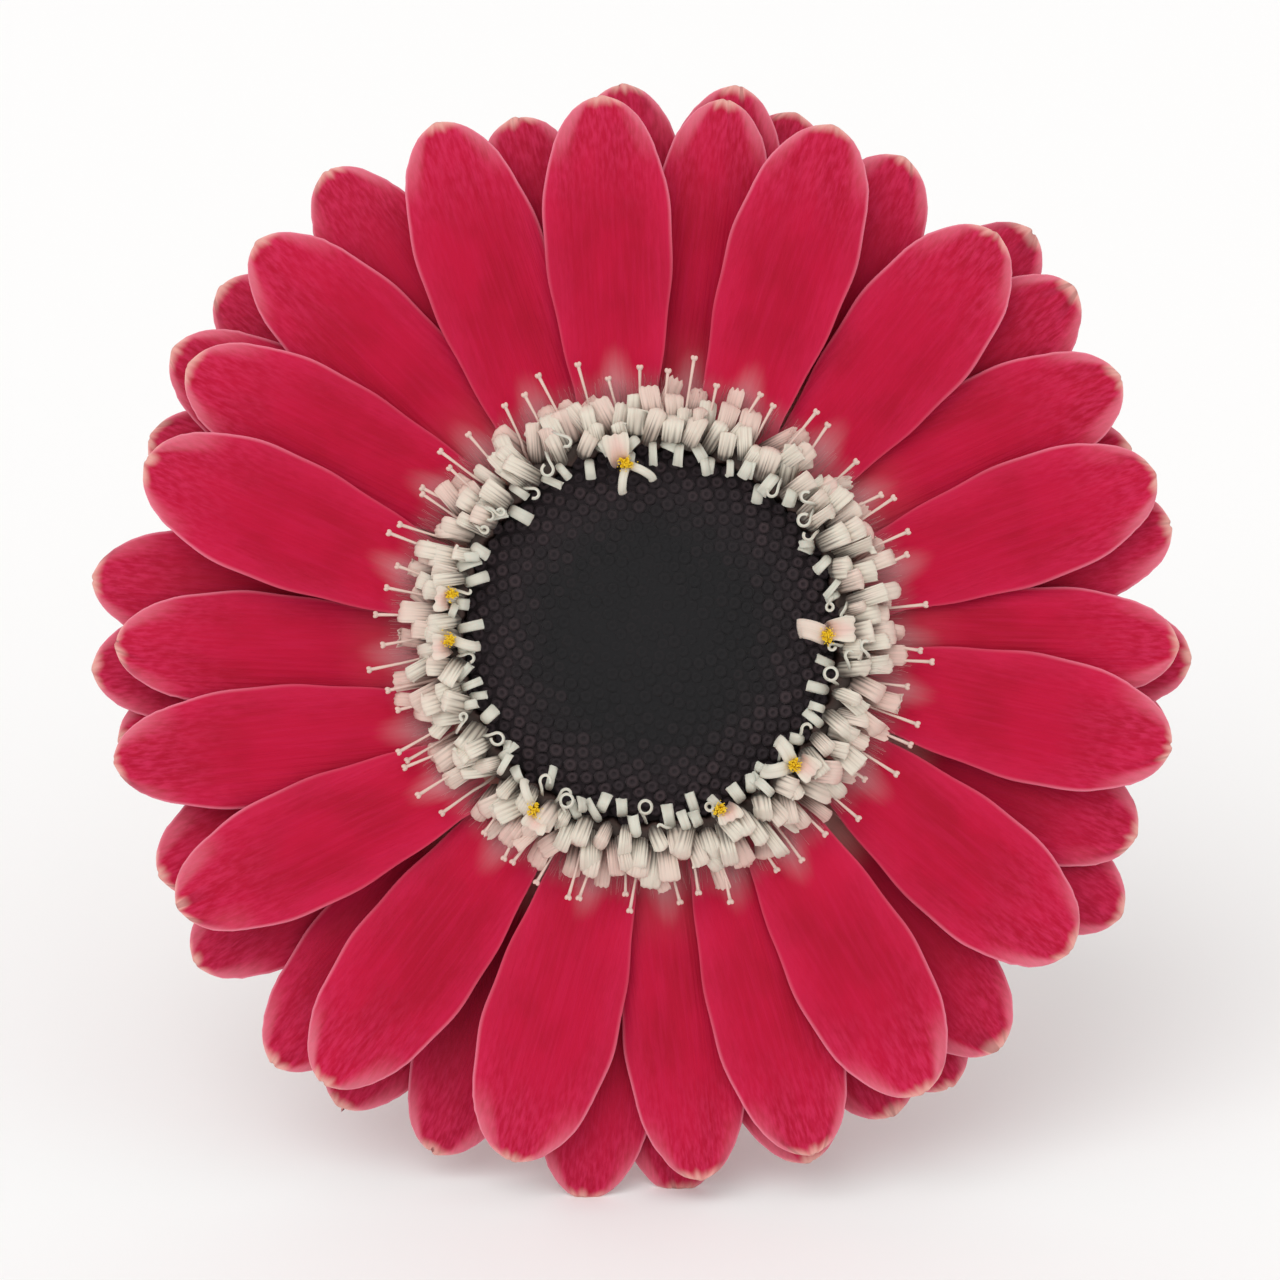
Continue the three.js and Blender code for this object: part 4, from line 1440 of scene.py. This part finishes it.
def stem_frame(line):
    """Tangent, side and upper side along the stem, which stays in one upright plane."""
    tangent = unit(np.gradient(line, axis=0))
    side = np.tile(head_right, (len(line), 1))
    return tangent, side, np.cross(side, tangent)


stem_length = np.linalg.norm(np.diff(stem_line(), axis=0), axis=1).sum()
print("length of the stem, mm:", round(float(stem_length)))

# %% [markdown]
# ## The stem
#
# The stalk is almost round, with nine faint ribs, swells a little here and there and thickens towards
# the cut. A modifier could sweep a circle along the line, but a tube that is worked out point by point
# takes all of that in its radius. A few smaller rings beyond its end make the cut face.

# %% Grow the stem
STEM_SIDES = 48
STEM_THIN, STEM_THICKENING = 2.95, 0.45
# Share of the radius and how far beyond the end, for the rings of the cut.
CUT_RINGS = [(0.93, 0.12), (0.6, 0.05), (0.1, 0.0)]
CUT_PALENESS = [0.6, 1.0, 1.0]


def grow_stem():
    gathering = Gathering("stem")
    line = stem_line()
    _, side, upper = stem_frame(line)
    turn = full_turn(STEM_SIDES)
    share = np.linspace(0, 1, len(line))[:, None]
    radius = STEM_THIN + STEM_THICKENING * share
    radius = radius * (1 + 0.018 * np.cos(9 * turn)[None] + 0.012 * np.sin(share * 40))
    circle = np.cos(turn)[None, :, None] * side[:, None] + np.sin(turn)[None, :, None] * upper[:, None]
    rings = [*(line[:, None] + radius[..., None] * circle)]
    end, last_ring = line[-1], rings[-1]
    rings += [end + (last_ring - end) * size + np.array([0.0, beyond, 0.0]) for size, beyond in CUT_RINGS]
    gathering.add(
        np.concatenate(rings),
        tube_faces(len(rings), STEM_SIDES),
        along=np.repeat([*share[:, 0], *[1.0] * len(CUT_RINGS)], STEM_SIDES),
        cut=np.repeat([*[0.0] * len(line), *CUT_PALENESS], STEM_SIDES),
        turn=np.tile(turn, len(rings)),
    )
    return gathering


stem_gathering = grow_stem()
print("the stem holds", stem_gathering.count, "points")

# %% [markdown]
# ## Cup and bracts
#
# At the head the stem widens into a cup. Narrow pointed leaves, the bracts, press round it in four rows,
# and each row covers the gaps of the one before. The cup is turned like the tubes. A bract is a sheet
# like a lip, and its line follows the outside of the cup, so that it lies close wherever it stands.

# %% Cup
CUP_CORNERS = [(3.2, NECK_Z), (6.2, NECK_Z + 1.2), (10.8, NECK_Z + 4.0), (14.6, NECK_Z + 7.8), (16.9, -5.2)]
CUP_NECK = [(0.3, NECK_Z - 0.8), (2.9, NECK_Z - 0.8)]
CUP_TOP = [(16.0, -5.0), (0.3, -5.0)]
CUP_RINGS, CUP_SIDES = 24, 96


def grow_cup():
    gathering = Gathering("cup")
    profile = np.concatenate([CUP_NECK, smooth_line(CUP_CORNERS, CUP_RINGS), CUP_TOP])
    share = np.repeat(np.linspace(0, 1, len(profile)), CUP_SIDES)
    turn = np.tile(full_turn(CUP_SIDES), len(profile))
    gathering.add_body(turned(profile, CUP_SIDES), along=share, cut=0.0, turn=turn)
    return gathering


cup_gathering = grow_cup()
print("the cup holds", cup_gathering.count, "points")

# %% Bracts in four rows
BRACT_SEED = 30000
# How many, part of a step that the row is turned by, foot and tip along the cup, half width, how far it
# stands out.
BRACT_ROWS = [
    (16, 0.0, 0.03, 0.6, 1.35, 1.25),
    (18, 0.5, 0.1, 0.84, 1.65, 0.95),
    (22, 0.25, 0.24, 1.06, 2.0, 0.65),
    (26, 0.75, 0.4, 1.2, 2.3, 0.35),
]
BRACT_STEPS = 18
BRACT_SHARES = np.linspace(0, 1, BRACT_STEPS)
BRACT_LEAF = np.interp(BRACT_SHARES, [0, 0.3, 0.6, 0.85, 1], [0.85, 1.0, 0.86, 0.46, 0.05])
OUTSIDE_STEPS, BEYOND_STEPS = 101, 30


def bract_line(foot, tip, proud):
    """A line that follows the cup's outside at a small distance, and may pass its rim."""
    outside = smooth_line(CUP_CORNERS, OUTSIDE_STEPS)
    fade = np.exp(-np.arange(1, BEYOND_STEPS + 1) / 9)
    beyond = outside[-1] + np.cumsum(0.2 * np.stack([1 - 0.3 * fade, 0.75 * fade], -1), 0)
    outside = np.concatenate([outside, beyond])
    place = np.linspace(foot, tip, BRACT_STEPS) * (OUTSIDE_STEPS - 1)
    spot = np.stack([np.interp(place, np.arange(len(outside)), outside[:, k]) for k in (0, 1)], -1)
    slope = unit(np.gradient(spot, axis=0))
    lift = proud * np.interp(BRACT_SHARES, [0, 0.15, 0.7, 1], [0.1, 0.7, 1.0, 1.2])
    return spot + np.stack([slope[:, 1], -slope[:, 0]], -1) * lift[:, None]


def grow_bracts():
    gathering = Gathering("bracts")
    for row, (count, start, foot, tip, half, proud) in enumerate(BRACT_ROWS):
        for k in range(count):
            chance = np.random.default_rng(BRACT_SEED + 100 * row + k)
            line = bract_line(foot, tip - chance.uniform(0, 0.03), proud * chance.uniform(0.9, 1.1))
            angle = (k + start) * 360 / count + chance.uniform(-1.5, 1.5)
            line, side = standing(line, angle)
            points, marks = sheet(line, -side, half * BRACT_LEAF, barrel=0.28, thickness=0.4)
            add_sheet(gathering, points, marks, chance=row * 40 + k)
    return gathering


bract_gathering = grow_bracts()
print(sum(row[0] for row in BRACT_ROWS), "bracts in", len(BRACT_ROWS), "rows")

# %% [markdown]
# ## Hairs
#
# The stem of a gerbera is covered in short pale hairs. Here they are short slanted spikes, set at random
# on the stem. A bump in the material would leave the outline smooth, and real meshes catch the light
# along it. Where the stem touches the surface they are left out.

# %% Hairs
HAIR_SEED = 77
HAIR_COUNT = 5200
HAIR_FOOT_RADIUS, HAIR_TIP_RADIUS = 0.05, 0.015
HAIR_SINKS = 0.05  # how deep the foot of a hair lies under the stem's surface
HAIR_CLEARANCE = 0.2


def grow_hairs():
    gathering = Gathering("stem_hairs")
    chance = np.random.default_rng(HAIR_SEED)
    line = stem_line()
    tangent, side, upper = stem_frame(line)
    place = chance.uniform(2, len(line) - 2, HAIR_COUNT)
    at = place.astype(int)
    turn = chance.uniform(0, 2 * np.pi, HAIR_COUNT)[:, None]
    outward = np.cos(turn) * side[at] + np.sin(turn) * upper[at]
    radius = STEM_THIN - HAIR_SINKS + STEM_THICKENING * at / len(line)
    foot = line[at] + (line[at + 1] - line[at]) * (place - at)[:, None] + outward * radius[:, None]
    slant = outward + tangent[at] * chance.uniform(-0.5, 0.5, HAIR_COUNT)[:, None]
    tip = foot + slant * chance.uniform(0.5, 1.1, HAIR_COUNT)[:, None]
    clear = np.minimum(foot[:, 2], tip[:, 2]) > HAIR_CLEARANCE
    points, faces = spikes(foot[clear], tip[clear], HAIR_FOOT_RADIUS, HAIR_TIP_RADIUS)
    gathering.add(points, faces, along=np.tile(SPIKE_MARKS, clear.sum()))
    return gathering


hair_gathering = grow_hairs()
print(hair_gathering.count // 6, "hairs")

# %% [markdown]
# ## Green
#
# Fresh stems are a light yellowish green, with fine fibres along them, brownish towards the cut and pale
# on the cut itself. The bracts are darker, with a pale margin, a dark midrib and reddish tips. Two
# finishes share the same steps: a stretched noise for the fibres, which also raises the surface a
# little, and masks on the distances along and across.

# %% Finishes of the green parts
def stem_finish():
    finish = Finish("stem", roughness=0.5, subsurface=0.08)
    along = finish.mark("along")
    place = finish.spot(finish.mark("turn"), along, 1.0)
    fibre = finish.noise(place * (6.0, 9.0, 0.0), detail=3.0)
    cloud = finish.noise(place * (0.6, 14.0, 3.0))
    shade = finish.blend(finish.between(cloud, 0.3, 0.7), colour(118, 142, 68), colour(134, 156, 82))
    shade = finish.blend(finish.between(fibre, 0.45, 0.75) * 0.4, shade, colour(158, 174, 104))
    shade = finish.blend(finish.between(along, 0.78, 1.0) * 0.4, shade, colour(150, 126, 84))
    finish.feed("Base Color", finish.blend(finish.mark("cut"), shade, colour(206, 212, 164)))
    finish.raise_surface(fibre, 0.3, 0.3 * MM)
    return finish


def bract_finish():
    finish = Finish("bract", roughness=0.5, subsurface=0.08)
    along, across = finish.mark("along"), finish.mark("across")
    fibre = finish.noise(finish.spot(across, along, finish.mark("chance")) * (3.0, 1.2, 2.1), detail=3.0)
    aside = finish.node("ShaderNodeMath", {"operation": "ABSOLUTE"}, {0: across})
    shade = finish.blend(finish.between(fibre, 0.35, 0.7), colour(78, 106, 46), colour(108, 134, 64))
    shade = finish.blend(finish.between(aside, 0.9, 1.8) * 0.5, shade, colour(142, 160, 92))
    shade = finish.blend((1.0 - finish.between(aside, 0.0, 0.35)) * 0.4, shade, colour(66, 90, 40))
    shade = finish.blend(finish.between(along, 0.72, 1.0) * 0.75, shade, colour(118, 70, 58))
    finish.feed("Base Color", shade)
    finish.raise_surface(fibre, 0.4, 0.3 * MM)
    return finish


green = stem_finish()
hair = spike_finish("hair", colour(176, 190, 132), colour(222, 224, 200))
stem_gathering.piece(green, "stem_and_involucre", "green")
cup_gathering.piece(green, "stem_and_involucre", "green")
bract_gathering.piece(bract_finish(), "stem_and_involucre", "green")
hair_gathering.piece(hair, "stem_and_involucre", "green")
